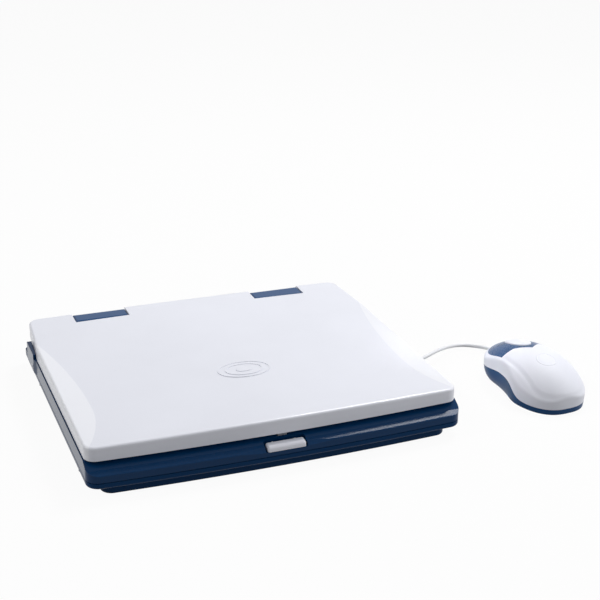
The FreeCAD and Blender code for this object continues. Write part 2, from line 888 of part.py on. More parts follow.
# Hinges
def make_hinges():
    cover_radius = sweep_radius - s.hinge_swing_gap
    top = lid_top - s.hinge_cover_sink
    rise = top - hinge_z
    half = root(cover_radius * cover_radius - rise * rise)
    reach = s.hinge_from_rear - s.base_rear_inset
    corners = [
        (hinge_y - half, shelf_top),
        (hinge_y + reach, shelf_top),
        (hinge_y + reach, top),
        (hinge_y - half, top),
    ]
    for side, low_x in (("left", -hinge_outer), ("right", hinge_inner)):
        name = f"HingeCover{side.title()}"
        high_x = low_x + s.hinge_cover_width
        body = new_body(name + "Body")
        sketch = sketch_on(body, name + "Profile", "YZ_Plane", low_x)
        draw(sketch, corners)
        block = feature(body, "Pad", name + "Block", sketch, s.hinge_cover_width)
        ends = body.newObject("PartDesign::Chamfer", name + "Ends")
        edges = enumerate(block.Shape.Edges, start=1)
        ends.Base = (block, [f"Edge{number}" for number, edge in edges if top_end(edge, top)])
        bind(ends, "Size", s.hinge_end_bevel)
        soften(body, name + "Rear", ends, s.hinge_rear_round, long_edge(hinge_y + reach, top))
        front = long_edge(hinge_y - half, top)
        soften(body, name + "Front", body.Tip, s.hinge_front_round, front)
        span = (low_x - 1, high_x + 1)
        seat = rod(f"PinSeat{side.title()}", "x", s.hinge_pin_radius, (hinge_y, hinge_z), span)
        keep(f"hinge_cover_{side}", cut(name, body, seat))
        pin_reach = s.hinge_side_gap + s.hinge_pin_reach
        span = (low_x - pin_reach, high_x + pin_reach)
        pin = rod(f"HingePin{side.title()}", "x", s.hinge_pin_radius, (hinge_y, hinge_z), span)
        keep(f"hinge_pin_{side}", pin)


def long_edge(y, z):
    """Test for the edge along X at a place in the hinge's profile."""

    def chosen(edge):
        point = middle(edge)
        return abs(point.y - float(y)) < 0.01 and abs(point.z - float(z)) < 0.01

    return chosen


def top_end(edge, top):
    """Whether an edge runs across the end of a hinge cover's top."""
    ends = [vertex.Point for vertex in edge.Vertexes]
    return all(abs(point.z - float(top)) < 0.01 for point in ends) and abs(ends[0].x - ends[1].x) < 0.01


# Base
def case_screw_places():
    """Plan places of the screws that hold the two halves of the base."""
    x = base_half - s.boss_from_side
    return [(side * x, y) for side in (-1, 1) for y in (-s.screw_front, s.screw_middle, s.screw_rear)]


def side_holes():
    """Holes through the side walls for the mouse socket and the audio jack."""
    socket_span = (base_half - s.socket_length, base_half + s.socket_proud + 1)
    socket = rod("SocketHole", "x", s.socket_radius, (s.socket_place, s.socket_height), socket_span)
    jack_end = -(base_half + s.fairing_reach + s.jack_proud)
    jack_span = (jack_end - 1, jack_end + s.jack_length)
    jack = rod("JackHole", "x", s.jack_radius, (s.jack_place, s.jack_height), jack_span)
    return [socket, jack]


def fairings():
    """Blocks that widen the base beside the lid's drawn-in rear."""
    inner = base_half - s.case_wall / 2
    outer = base_half + s.fairing_reach
    full = s.fairing_start + s.fairing_run
    end = recess_wall
    blocks = []
    for side in (-1, 1):
        lower = [(inner, s.fairing_start), (outer, full), (outer, end), (inner, end)]
        upper = [
            (lid_side(full) + s.fairing_gap, full),
            (outer, full),
            (outer, end),
            (lid_side(end) + s.fairing_gap, end),
        ]
        hand = "Left" if side < 0 else "Right"
        blocks.append(slab(f"Fairing{hand}", [(side * x, y) for x, y in lower], (seam, deck)))
        top = lid_bottom + s.fairing_rise
        blocks.append(slab(f"FairingTop{hand}", [(side * x, y) for x, y in upper], (deck, top)))
    return blocks


def latch_recess():
    """Pocket for the latch button, its rear corners rounded."""
    half = s.latch_width / 2 + s.recess_side
    block = box("RecessBlock", (-half, half), (latch_front - 1, recess_back), (recess_floor, deck + 1))

    def rear_corner(edge):
        return upright(edge) and middle(edge).y > float(latch_back)

    return rounded("LatchRecess", block, s.recess_corner, rear_corner)


def latch_scoop():
    """Wide cylinder that dips the rim's front edge below the latch button."""
    rise = math.sin(math.radians(SCOOP_TILT))
    run = math.cos(math.radians(SCOOP_TILT))
    depth = s.scoop_dip * run
    radius = (s.scoop_half * s.scoop_half + depth * depth) / (2 * depth)
    length = 4 * s.slope_depth
    item = doc.addObject("Part::Cylinder", "LatchScoop")
    item.Placement = Placement(Vector(), Rotation(Vector(1, 0, 0), SCOOP_TILT - 90))
    bind(item, "Radius", radius)
    bind(item, "Height", length)
    bind(item, "Placement.Base.y", base_front - radius * rise - length * run / 2)
    bind(item, "Placement.Base.z", rim_top - s.scoop_dip + radius * run - length * rise / 2)
    return item


def make_base_upper():
    corners = (s.base_front_corner, s.base_rear_corner)
    body = plan_block("BaseUpper", (base_radius, base_half, base_rear), (seam, deck), corners)
    above = deck + s.lid_gap
    ahead = -base_radius - s.ledge_depth
    sketch = sketch_on(body, "FrontLipProfile", "YZ_Plane", ZERO, shift=front_centre)
    bend = rim_top - s.rim_round
    lip_corners = [
        (ahead, bend),
        (-float(base_radius), bend),
        (s.rim_round - base_radius, float(rim_top)),
        (s.ledge_depth - base_radius, ledge_top),
        (-slope_radius, deck),
        (-slope_radius, above),
        (ahead, above),
    ]
    draw(sketch, lip_corners, {1: (s.rim_round - base_radius, bend, s.rim_round, -1)})
    lip = body.newObject("PartDesign::Groove", "FrontLip")
    lip.Profile = sketch
    lip.ReferenceAxis = (sketch, ["V_Axis"])
    lip.Midplane = True
    lip.Angle = LIP_SWEEP
    doc.recompute()

    hollow = plan_block(
        "UpperHollow",
        (slope_radius - s.case_wall, base_half - s.case_wall, recess_wall - s.case_wall),
        (seam - 1, deck_under),
        (s.base_front_corner - s.case_wall, s.base_rear_corner - s.case_wall),
    )
    walls = cut("UpperWalls", body, hollow)
    inside = []
    openings = side_holes()
    for x, y in case_screw_places():
        inside.append(rod("UpperBoss", "z", s.boss_radius, (x, y), (seam, deck_under + s.case_wall / 2)))
        pilot_span = (seam - 1, screw_top + s.screw_recess)
        openings.append(rod("UpperPilot", "z", s.screw_radius, (x, y), pilot_span))
    wide = base_half + s.fairing_reach + 1
    shelf_z = (shelf_top, lid_bottom + s.fairing_rise + 1)
    openings += [
        box("Shelf", (-wide, wide), (recess_wall, base_rear + 1), shelf_z),
        box("KeyboardOpening", keyboard_x, keyboard_y, (deck_under - 1, deck + 1)),
        latch_recess(),
        latch_scoop(),
        box(
            "HookSlot",
            (-s.hook_width / 2 - s.hook_room, s.hook_width / 2 + s.hook_room),
            (hook_front - s.hook_room / 2, hook_front + 3 * s.hook_thick / 2 + s.hook_room / 2),
            (lid_bottom - s.hook_reach - s.hook_room, deck + 1),
        ),
    ]
    solid = join("UpperSolid", walls, *inside, *fairings())
    keep("base_upper_shell", cut("BaseUpperShell", solid, *openings))


def make_base_lower():
    corners = (s.base_front_corner, s.base_rear_corner)
    rim_z = (s.tray_height, seam - s.seam_gap)
    rim = plan_block("Rim", (base_radius, base_half, base_rear), rim_z, corners)
    soften(rim, "RimUnderEdge", rim.Tip, s.rim_under_round, level_edge(s.tray_height))
    inset = s.seam_depth
    lip = plan_block(
        "SeamLip",
        (base_radius - inset, base_half - inset, base_rear - inset),
        (seam - s.seam_gap, seam),
        tuple(corner - inset for corner in corners),
    )
    tray_plan = (
        base_radius - s.tray_front_inset,
        base_half - s.tray_side_inset,
        base_rear - s.tray_rear_inset,
    )
    tray = plan_block("Tray", tray_plan, (ZERO, s.tray_height), (s.tray_corner, s.tray_corner))
    soften(tray, "TrayUnderEdge", tray.Tip, s.tray_round, level_edge(ZERO))

    inset = s.seam_depth + s.case_wall
    rim_hollow = plan_block(
        "RimHollow",
        (base_radius - inset, base_half - inset, base_rear - inset),
        (s.tray_height + s.case_floor, seam + 1),
        tuple(corner - inset for corner in corners),
    )
    tray_hollow = plan_block(
        "TrayHollow",
        tuple(size - s.case_wall for size in tray_plan),
        (s.case_floor, seam + 1),
        (s.tray_corner - s.case_wall, s.tray_corner - s.case_wall),
    )
    walls = cut("LowerWalls", join("LowerBlock", rim, lip, tray), rim_hollow, tray_hollow)

    inside = []
    openings = side_holes()
    for x, y in case_screw_places():
        inside.append(rod("LowerBoss", "z", s.boss_radius, (x, y), (s.tray_height + s.case_floor / 2, seam)))
        openings.append(rod("LowerScrewHole", "z", s.screw_radius, (x, y), (ZERO, seam + 1)))
        seat = screw_low + s.screw_head_height
        openings.append(rod("ScrewHeadSeat", "z", s.screw_head_radius, (x, y), (ZERO, seat)))
    x, y = door_screw_place
    inside.append(rod("DoorBoss", "z", s.boss_radius, (x, y), (s.case_floor / 2, door_boss_top)))
    openings.append(rod("DoorPilot", "z", s.screw_radius, (x, y), (ZERO, door_boss_top - s.door_thick)))
    openings.append(box("CellOpening", cells_x, cells_y, (-1, s.case_floor + 1)))
    openings += door_slabs("DoorSeat", ZERO, (-1, s.door_thick))
    solid = join("LowerSolid", walls, *inside)
    keep("base_lower_shell", cut("BaseLowerShell", solid, *openings))

    screws = [
        screw("CaseScrew", x, y, screw_low, s.screw_head_height, s.screw_length)
        for x, y in case_screw_places()
    ]
    keep("case_screws", group("CaseScrews", *screws))

    feet = []
    for side in (-1, 1):
        for y in (-s.foot_front, s.foot_rear):
            place = (side * (base_half - s.foot_from_side), y)
            feet.append(rod("Foot", "z", s.foot_radius, place, (ZERO, s.tray_height)))
    keep("rubber_feet", group("RubberFeet", *feet))


def level_edge(z):
    """Test for edges that lie at one level."""

    def chosen(edge):
        return all(abs(vertex.Z - float(z)) < 0.01 for vertex in edge.Vertexes)

    return chosen


def door_slabs(name, play, z):
    """Plan of the battery door with its screw tongue, as two overlapping blocks."""
    x = (cells_x[0] - s.door_lip + play, cells_x[1] + s.door_lip - play)
    y = (cells_y[0] - s.door_lip + play, cells_y[1] + s.door_lip - play)
    tongue_x = (-s.door_tongue_width / 2 + play, s.door_tongue_width / 2 - play)
    tongue_y = (cells_y[0] - s.door_lip - s.door_tongue + play, cells_y[0])
    return [box(name, x, y, z), box(name + "Tongue", tongue_x, tongue_y, z)]


# Batteries
def make_batteries():
    door_z = (s.door_raise, s.door_thick)
    x, y = door_screw_place
    head_top = s.door_raise + s.screw_recess + s.screw_head_height / 2
    seat = rod("DoorScrewSeat", "z", s.screw_head_radius, (x, y), (ZERO, head_top))
    hole = rod("DoorScrewHole", "z", s.screw_radius, (x, y), (ZERO, s.door_thick + 1))
    door = join("DoorPlate", *door_slabs("DoorSlab", s.door_play, door_z))
    keep("battery_door", cut("BatteryDoor", door, seat, hole))
    low = s.door_raise + s.screw_recess
    length = door_boss_top - 2 * s.door_thick - low - s.screw_head_height / 2
    keep("door_screw", screw("DoorScrew", x, y, low, s.screw_head_height / 2, length))

    wall = s.box_wall
    outer_x = (cells_x[0] - wall, cells_x[1] + wall)
    outer_y = (cells_y[0] - wall, cells_y[1] + wall)
    shell = box("BoxBlock", outer_x, outer_y, (s.case_floor, cells_top + wall))
    hollow = box("BoxHollow", cells_x, cells_y, (s.case_floor - 1, cells_top))
    keep("battery_box", cut("BatteryBox", shell, hollow))

    cells = []
    contacts = []
    for row in (-1, 1):
        y = s.box_middle + row * (s.cell_radius + s.cell_gap / 2)
        for column in (-1, 1):
            near = column * s.cell_gap / 2
            far = near + column * s.cell_length
            nub_end = near if row * column > 0 else far
            nub_start = nub_end + s.nub_length * (column if row * column > 0 else -column)
            can_ends = [nub_start, far if row * column > 0 else near]
            can = rod("CellCan", "x", s.cell_radius, (y, cell_axis), sorted(can_ends, key=float))
            nub_span = sorted((nub_start, nub_end), key=float)
            nub = rod("CellNub", "x", s.nub_radius, (y, cell_axis), nub_span)
            cells.append(join("Cell", can, nub))
            wall_x = cells_x[0] if column < 0 else cells_x[1]
            plate_x = sorted((wall_x, wall_x - column * s.contact_thick), key=float)
            half = s.contact_size / 2
            plate_y = (y - half, y + half)
            contacts.append(box("Contact", plate_x, plate_y, (cell_axis - half, cell_axis + half)))
    keep("battery_cells", group("BatteryCells", *cells))
    keep("battery_contacts", group("BatteryContacts", *contacts))


# Keyboard
def key_places():
    """Middle and width of each key, front row first. The space bar takes the middle of the front row."""
    columns = int(SIZES["key_columns"])
    space = int(SIZES["space_columns"])
    first_space = (columns - space) // 2
    for row in range(int(SIZES["key_rows"])):
        y = key_front + (row + 0.5) * s.row_pitch
        for column in range(columns):
            in_space = row == 0 and first_space <= column < first_space + space
            if in_space and column > first_space:
                continue
            span = space if in_space else 1
            x = (column + (span - columns) / 2) * key_pitch
            yield x, y, span * key_pitch - s.key_gap


def key_cap(x, y, width):
    """Key with sides that draw in towards its top."""
    item = doc.addObject("Part::Wedge", "Key")
    item.Placement = Placement(Vector(), Rotation(Vector(1, 0, 0), 90))
    depth = s.row_pitch - s.key_gap
    sides = {"X": width / 2, "Z": depth / 2}
    for axis, half in sides.items():
        bind(item, f"{axis}min", -half)
        bind(item, f"{axis}max", half)
        bind(item, f"{axis}2min", s.key_taper - half)
        bind(item, f"{axis}2max", half - s.key_taper)
    bind(item, "Ymin", 0)
    bind(item, "Ymax", deck + s.key_stand - plate_under)
    bind(item, "Placement.Base.x", x)
    bind(item, "Placement.Base.y", y)
    bind(item, "Placement.Base.z", plate_under)
    return item


def make_keyboard():
    lip = s.plate_lip
    plate_x = (keyboard_x[0] - lip, keyboard_x[1] + lip)
    plate_y = (keyboard_y[0] - lip, keyboard_y[1] + lip)
    plate = box("PlateBlock", plate_x, plate_y, (plate_under, deck_under))
    through = (plate_under - 1, deck_under + 1)
    windows = []
    keys = []
    for x, y, width in key_places():
        half = width / 2 + s.key_play
        deep = (s.row_pitch - s.key_gap) / 2 + s.key_play
        windows.append(box("KeyWindow", (x - half, x + half), (y - deep, y + deep), through))
        keys.append(key_cap(x, y, width))
    speaker_x = keyboard_x[1] - s.speaker_margin - s.speaker_radius
    speaker_y = keyboard_y[1] - s.speaker_radius
    count = int(SIZES["slot_count"])
    for number in range(count):
        x = speaker_x + (number - (count - 1) / 2) * s.slot_pitch
        slot_x = (x - s.slot_width / 2, x + s.slot_width / 2)
        slot_y = (speaker_y - s.slot_length / 2, speaker_y + s.slot_length / 2)
        windows.append(box("SpeakerSlot", slot_x, slot_y, through))
    keep("keyboard_plate", cut("KeyboardPlate", plate, *windows))

    reach = s.key_columns * key_pitch / 2 + s.mat_margin - s.key_gap / 2
    mat_y = (key_front - s.mat_margin, key_front + s.key_rows * s.row_pitch + s.mat_margin)
    web = box("MatWeb", (-reach, reach), mat_y, (mat_under, plate_under))
    keep("keypad_mat", join("KeypadMat", web, *keys))

    half = s.board_width / 2
    board = box("MainBoard", (-half, half), (-s.board_front, s.board_rear), (board_under, mat_under))
    keep("main_board", board)

    centre = (speaker_x, speaker_y)
    rim_low = plate_under - s.speaker_rim
    low = plate_under - s.speaker_thick
    magnet_top = (low + rim_low) / 2
    rim = rod("SpeakerRim", "z", s.speaker_radius, centre, (rim_low, plate_under))
    basket = cone("SpeakerBasket", "z", (s.magnet_radius, s.speaker_radius), centre, (magnet_top, rim_low))
    magnet = rod("SpeakerMagnet", "z", s.magnet_radius, centre, (low, magnet_top))
    keep("speaker", join("Speaker", rim, basket, magnet))


# Latch
def make_latch():
    half = s.latch_width / 2
    low = recess_floor + s.latch_play
    top = low + s.latch_height
    body = new_body("LatchButtonBody")
    sketch = sketch_on(body, "LatchPlan", "XY_Plane", low)
    draw_box(sketch, (-half, half), (latch_front, latch_back))
    block = feature(body, "Pad", "LatchBlock", sketch, s.latch_height)

    def front_edge(edge):
        point = middle(edge)
        return abs(point.z - float(top)) < 0.01 and abs(point.y - float(latch_front)) < 0.01

    def end_edge(edge):
        point = middle(edge)
        above = point.z > float(low) + 0.1
        ahead = point.y < float(latch_back) - 0.1
        return abs(abs(point.x) - float(half)) < 0.01 and above and ahead

    front = soften(body, "LatchFrontRound", block, s.latch_round, front_edge)
    soften(body, "LatchEndRound", front, s.latch_end_round, end_edge)
    bores = []
    springs = []
    axis = low + s.latch_height / 2
    for side in (-1, 1):
        x = side * s.spring_apart / 2
        bore = s.spring_radius + s.latch_play
        bottom = latch_back - s.spring_bore_depth
        bores.append(rod("SpringBore", "y", bore, (x, axis), (bottom, latch_back + 1)))
        outer = rod("SpringOuter", "y", s.spring_radius, (x, axis), (bottom, recess_back))
        bore_span = (bottom - 1, recess_back + 1)
        inner = rod("SpringInner", "y", s.spring_radius - s.spring_wall, (x, axis), bore_span)
        springs.append(cut("Spring", outer, inner))
    keep("latch_button", cut("LatchButton", body, *bores))
    keep("latch_springs", group("LatchSprings", *springs))


# Sockets
def make_sockets():
    centre = (s.socket_place, s.socket_height)
    outer_end = base_half + s.socket_proud
    block = rod("SocketBlock", "x", s.socket_radius, centre, (outer_end - s.socket_length, outer_end))
    bore = rod("SocketBore", "x", s.socket_bore, centre, (outer_end - s.socket_depth, outer_end + 1))
    keep("mouse_socket", cut("MouseSocket", block, bore))

    nose = rod("PlugNose", "x", s.socket_bore - s.plug_play, centre, (outer_end - s.plug_length, outer_end))
    grip = rod("PlugGrip", "x", s.plug_grip_radius, centre, (outer_end, grip_end))
    boot = cone("PlugBoot", "x", (s.boot_radius, s.boot_tip_radius), centre, (grip_end, boot_end))
    keep("mouse_plug", join("MousePlug", nose, grip, boot))

    centre = (s.jack_place, s.jack_height)
    outer_end = -(base_half + s.fairing_reach + s.jack_proud)
    block = rod("JackBlock", "x", s.jack_radius, centre, (outer_end, outer_end + s.jack_length))
    bore = rod("JackBore", "x", s.jack_bore, centre, (outer_end - 1, outer_end + s.jack_depth))
    keep("audio_jack", cut("AudioJack", block, bore))


# Mouse, modelled about its own middle with its nose along +Y, then turned and set in its place
RING_POINTS = 28
REAR_POWER = 2 / 2.6
NOSE_POWER = 2 / 3.0
FLANK_RINGS = 6
PARTING_POINTS = 17
PARTING_FALL = 1.3


def signed_power(value, power):
    return math.copysign(abs(value) ** power, value)


def plain(name, shape):
    """Free-form solid worked out from the sheet's values."""
    item = doc.addObject("Part::Feature", name)
    item.Shape = shape
    return item


def mouse_ring(inset, z, under=0.0):
    """Closed curve round the mouse at a level: a rounded oblong, waisted, and narrower at the nose.

    Under is the share of the extra narrowing that the nose has at its underside.
    """
    half_length = float(s.mouse_length) / 2
    start = float(s.mouse_narrowing_start)
    narrowing = float(s.mouse_nose_narrowing) + under * float(s.mouse_under_narrowing)
    points = []
    for step in range(RING_POINTS):
        turn = 2 * math.pi * step / RING_POINTS
        power = NOSE_POWER if math.sin(turn) > 0 else REAR_POWER
        y = (half_length - inset) * signed_power(math.sin(turn), power)
        forward = max(0.0, (y - start) / (half_length - start))
        off_waist = (y - float(s.mouse_waist_ahead)) / float(s.mouse_waist_run)
        waist = float(s.mouse_waist) * math.exp(-off_waist * off_waist)
        half_width = float(s.mouse_width) / 2 - inset - narrowing * forward - waist
        points.append(Vector(half_width * signed_power(math.cos(turn), power), y, z))
    curve = Part.BSplineCurve()
    curve.interpolate(points, PeriodicFlag=True)
    return Part.Wire(curve.toShape())


def mouse_flank(name, inset, low):
    """Sides of the mouse as a barrel, widest at its belly."""
    belly = float(s.mouse_belly)
    high = float(s.mouse_height + s.mouse_skin)
    rings = []
    for step in range(FLANK_RINGS):
        z = float(low) + (high - float(low)) * step / (FLANK_RINGS - 1)
        share = ((z - belly) / belly) ** 2
        draw_in = s.mouse_under_draw if z < belly else s.mouse_top_draw
        under = share if z < belly else 0.0
        rings.append(mouse_ring(float(inset) + float(draw_in) * share, z, under))
    return plain(name, Part.makeLoft(rings, True))


def dome(name, growth):
    """Oval dome over the mouse, grown outwards by a distance."""
    item = doc.addObject("Part::Ellipsoid", name)
    bind(item, "Radius1", s.mouse_height + s.mouse_dome_sink + growth)
    bind(item, "Radius2", s.mouse_dome_half_width + growth)
    bind(item, "Radius3", s.mouse_dome_half_length + growth)
    bind(item, "Angle1", -90)
    bind(item, "Placement.Base.y", s.mouse_dome_ahead)
    bind(item, "Placement.Base.z", -s.mouse_dome_sink)
    return item


def parting_level(y):
    """Height of the line between the mouse's shells: low at the rear, a crest, and down to the nose."""
    climb = math.tanh((y - float(s.parting_climb)) / float(s.parting_climb_run))
    rear = float(s.parting_rear)
    crest = float(s.parting_crest)
    level = rear + (crest - rear) * (1 + climb) / 2
    ahead = (y - float(s.mouse_waist_ahead)) / (float(s.mouse_length) / 2 - float(s.mouse_waist_ahead))
    return level - (crest - float(s.parting_nose)) * max(0.0, ahead) ** PARTING_FALL


def below_parting():
    """Everything under the parting line, as a wide curtain."""
    reach = float(s.mouse_length) / 2 + 2
    side = float(s.mouse_width)
    places = [reach * (2 * step / (PARTING_POINTS - 1) - 1) for step in range(PARTING_POINTS)]
    curve = Part.BSplineCurve()
    curve.interpolate([Vector(-side, y, parting_level(y)) for y in places])
    front = Vector(-side, reach, -1)
    rear = Vector(-side, -reach, -1)
    edges = [
        curve.toShape(),
        Part.LineSegment(curve.EndPoint, front).toShape(),
        Part.LineSegment(front, rear).toShape(),
        Part.LineSegment(rear, curve.StartPoint).toShape(),
    ]
    return Part.Face(Part.Wire(edges)).extrude(Vector(2 * side, 0, 0))


def insert_prism():
    """Plan of the blue insert: the nose inside a white rim, with a shallow point to the rear."""
    low = float(s.insert_low)
    rise = Vector(0, 0, float(s.mouse_height + s.mouse_skin) - low)
    rim = Part.Face(mouse_ring(float(s.insert_inset), low)).extrude(rise)
    side = float(s.mouse_width)
    front = float(s.mouse_length)
    rear = float(s.insert_rear)
    neck = float(s.insert_neck)
    outline = [(-side, front), (-side, rear), (-neck, rear), (0, float(s.insert_tip))]
    outline += [(-x, y) for x, y in reversed(outline[:-1])]
    corners = [Vector(x, y, low) for x, y in outline]
    return rim.common(Part.Face(Part.makePolygon(corners + corners[:1])).extrude(rise))


def between_faces(shape, low):
    """Test for edges above a level where two different faces meet."""

    def chosen(edge):
        return len(shape.ancestorsOfType(edge, Part.Face)) > 1 and middle(edge).z > float(low)

    return chosen


def settle(name, item):
    """Keep a piece of the mouse, turned to the mouse's heading and set in its place."""
    placed = group(item.Name + "Placed", item)
    placed.Placement = Placement(Vector(), Rotation(Vector(0, 0, 1), float(s.mouse_heading)))
    bind(placed, "Placement.Rotation.Angle", s.mouse_heading)
    bind(placed, "Placement.Base.x", s.mouse_x)
    bind(placed, "Placement.Base.y", s.mouse_y)
    keep(name, placed)


def make_mouse():
    skin = s.mouse_skin
    floor_top = s.mouse_foot + s.mouse_floor
    outer = common("MouseBlock", mouse_flank("MouseFlank", ZERO, s.mouse_foot), dome("MouseDome", ZERO))
    doc.recompute()
    outer = rounded("MouseForm", outer, s.mouse_edge_round, between_faces(outer.Shape, s.mouse_belly / 2))
    inner_flank = mouse_flank("MouseInnerFlank", skin, floor_top)
    hollow = common("MouseHollow", inner_flank, dome("MouseInnerDome", -skin))
    curtain = plain("PartingCurtain", below_parting())
    prism = plain("InsertPrism", insert_prism())
    nose = s.mouse_length / 2

    centre = (ZERO, s.grommet_height)
    hold = nose - s.grommet_hold
    grommet = join(
        "MouseGrommet",
        rod("GrommetCollar", "y", s.grommet_collar, centre, (hold, nose - s.grommet_web)),
        rod("GrommetNeck", "y", s.grommet_neck, centre, (hold, nose)),
        cone(
            "GrommetTaper",
            "y",
            (s.grommet_radius, s.grommet_tip_radius),
            centre,
            (nose - skin / 4, nose + s.grommet_length),
        ),
    )

    screw_place = (ZERO, -s.mouse_screw_rear)
    pilot = rod("MousePilot", "z", s.screw_radius, screw_place, (ZERO, mouse_screw_top + s.screw_recess))
    boss_span = (s.parting_rear, s.mouse_height)
    boss_column = rod("MouseBossColumn", "z", s.mouse_boss_radius, screw_place, boss_span)
    boss = common("MouseBoss", boss_column, outer)
    top_walls = cut("MouseTopWalls", cut("MouseTopBlock", outer, curtain), hollow)
    top = join("MouseTopSolid", top_walls, boss)
    settle("mouse_top_shell", cut("MouseTopShell", top, prism, pilot, grommet))

    button_hole = button_oval("ButtonHole", s.button_play)
    insert_plate = cut("InsertPlate", common("InsertStock", outer, prism), hollow)
    settle("mouse_front_insert", cut("MouseFrontInsert", insert_plate, button_hole))

    lower_walls = cut("MouseLowerWalls", common("MouseLowerBlock", outer, curtain), hollow)
    posts = [
        rod("MousePost", "z", s.mouse_post_radius, place, (floor_top - 1, s.mouse_board_height))
        for place in mouse_post_places()
    ]
    socket = rod("MouseScrewSocket", "z", s.mouse_boss_radius, screw_place, (floor_top - 1, s.parting_rear))
    seat_span = (ZERO, mouse_screw_low + s.screw_head_height / 2)
    head_seat = rod("MouseScrewSeat", "z", s.screw_head_radius, screw_place, seat_span)
    eye = rod("LensHole", "z", s.lens_radius, (ZERO, s.lens_ahead), (ZERO, floor_top + 1))
    lower = join("MouseLowerSolid", lower_walls, *posts, common("MouseSocketBoss", socket, curtain))
    lower_shell = cut("MouseLowerShell", lower, pilot, head_seat, eye, grommet)
    settle("mouse_lower_shell", lower_shell)
    settle("mouse_grommet", grommet)

    length = s.mouse_screw_length
    screw_item = screw("MouseScrew", *screw_place, mouse_screw_low, s.screw_head_height / 2, length)
    settle("mouse_screw", screw_item)

    board_half = s.mouse_board_width / 2
    board_y = (-s.mouse_board_rear, s.mouse_board_front)
    board_top = s.mouse_board_height + s.mouse_board_thick
    board = box("MouseBoard", (-board_half, board_half), board_y, (s.mouse_board_height, board_top))
    settle("mouse_board", board)
    lens_span = (s.mouse_foot + s.lens_raise, s.mouse_board_height)
    settle("mouse_lens", rod("MouseLens", "z", s.lens_radius, (ZERO, s.lens_ahead), lens_span))
    half = s.switch_size / 2
    switch_top = board_top + s.switch_size
    switch_y = (s.button_ahead - half, s.button_ahead + half)
    settle("mouse_switch", box("MouseSwitch", (-half, half), switch_y, (board_top, switch_top)))

    feet = []
    half = s.mouse_foot_length / 2
    for y in (s.mouse_foot_front, -s.mouse_foot_rear):
        foot_y = (y - s.mouse_foot_width / 2, y + s.mouse_foot_width / 2)
        feet.append(box("MouseFoot", (-half, half), foot_y, (ZERO, s.mouse_foot)))
    settle("mouse_feet", group("MouseFeet", *feet))
    make_mouse_button(switch_top + s.button_travel + s.switch_gap)


def mouse_post_places():
    """Places of the posts under the mouse's board."""
    x = s.mouse_board_width / 2 - s.mouse_post_inset
    rear = s.mouse_post_inset - s.mouse_board_rear
    front = s.mouse_board_front - s.mouse_post_inset
    return [(side * x, y) for side in (-1, 1) for y in (rear, front)]


def button_oval(name, growth):
    """Oval column of the mouse's button, grown by a distance."""
    z = (s.insert_low, s.mouse_height + 2 * s.button_proud)
    length = s.button_length + 2 * growth
    return oval_block(name, length, s.button_width + 2 * growth, s.button_ahead, z, 90)


def make_mouse_button(plunger_low):
    """Domed key in the insert's oval hole, held by a flange under the insert, with a plunger."""
    under = -s.mouse_skin - s.button_play
    low_dome = under - s.mouse_skin / 2
    cap = common("ButtonBlock", button_oval("ButtonOval", ZERO), dome("ButtonDome", s.button_proud))
    doc.recompute()
    cap = rounded("ButtonCap", cap, s.button_round, between_faces(cap.Shape, s.insert_low + s.button_round))
    flange = common("ButtonFlange", button_oval("FlangeOval", s.button_flange), dome("FlangeDome", under))
    shell = cut("ButtonShell", join("ButtonSolid", cap, flange), dome("ButtonUnderDome", low_dome))
    plunger_span = (plunger_low, s.mouse_height)
    column = rod("PlungerColumn", "z", s.plunger_radius, (ZERO, s.button_ahead), plunger_span)
    plunger = common("Plunger", column, dome("PlungerDome", ZERO))
    settle("mouse_button", join("MouseButton", shell, plunger))


# Cord, from the plug's boot to the mouse's strain relief. A bend takes this share of the runs it joins.
BEND_SHARE = 0.45
CORD_POINTS = [
    (171.6, -16.4, 13.7),
    (180.6, -8.9, 12.0),
    (193.1, 1.4, 9.4),
    (205.1, 10.4, 6.7),
    (215.6, 16.6, 4.5),
    (224.7, 19.4, 3.0),
    (233.0, 18.4, 2.3),
    (238.6, 12.6, 3.0),
    (240.7, 3.8, 5.4),
    (240.3, -5.0, 8.3),
]


def cord_route():
    """Points of the cord, leaving the boot and the strain relief straight."""
    exit_run = float(s.cord_exit_run)
    boot_tip = Vector(float(boot_end), float(s.socket_place), float(s.socket_height))
    heading = Rotation(Vector(0, 0, 1), float(s.mouse_heading)).multVec(Vector(0, 1, 0))
    middle_point = Vector(float(s.mouse_x), float(s.mouse_y), float(s.grommet_height))
    reach = float(s.mouse_length) / 2 + float(s.grommet_length)
    mouse_tip = middle_point + heading * reach
    route = [boot_tip, boot_tip + Vector(exit_run, 0, 0)]
    route += [Vector(*point) for point in CORD_POINTS]
    return route + [mouse_tip + heading * exit_run, mouse_tip]


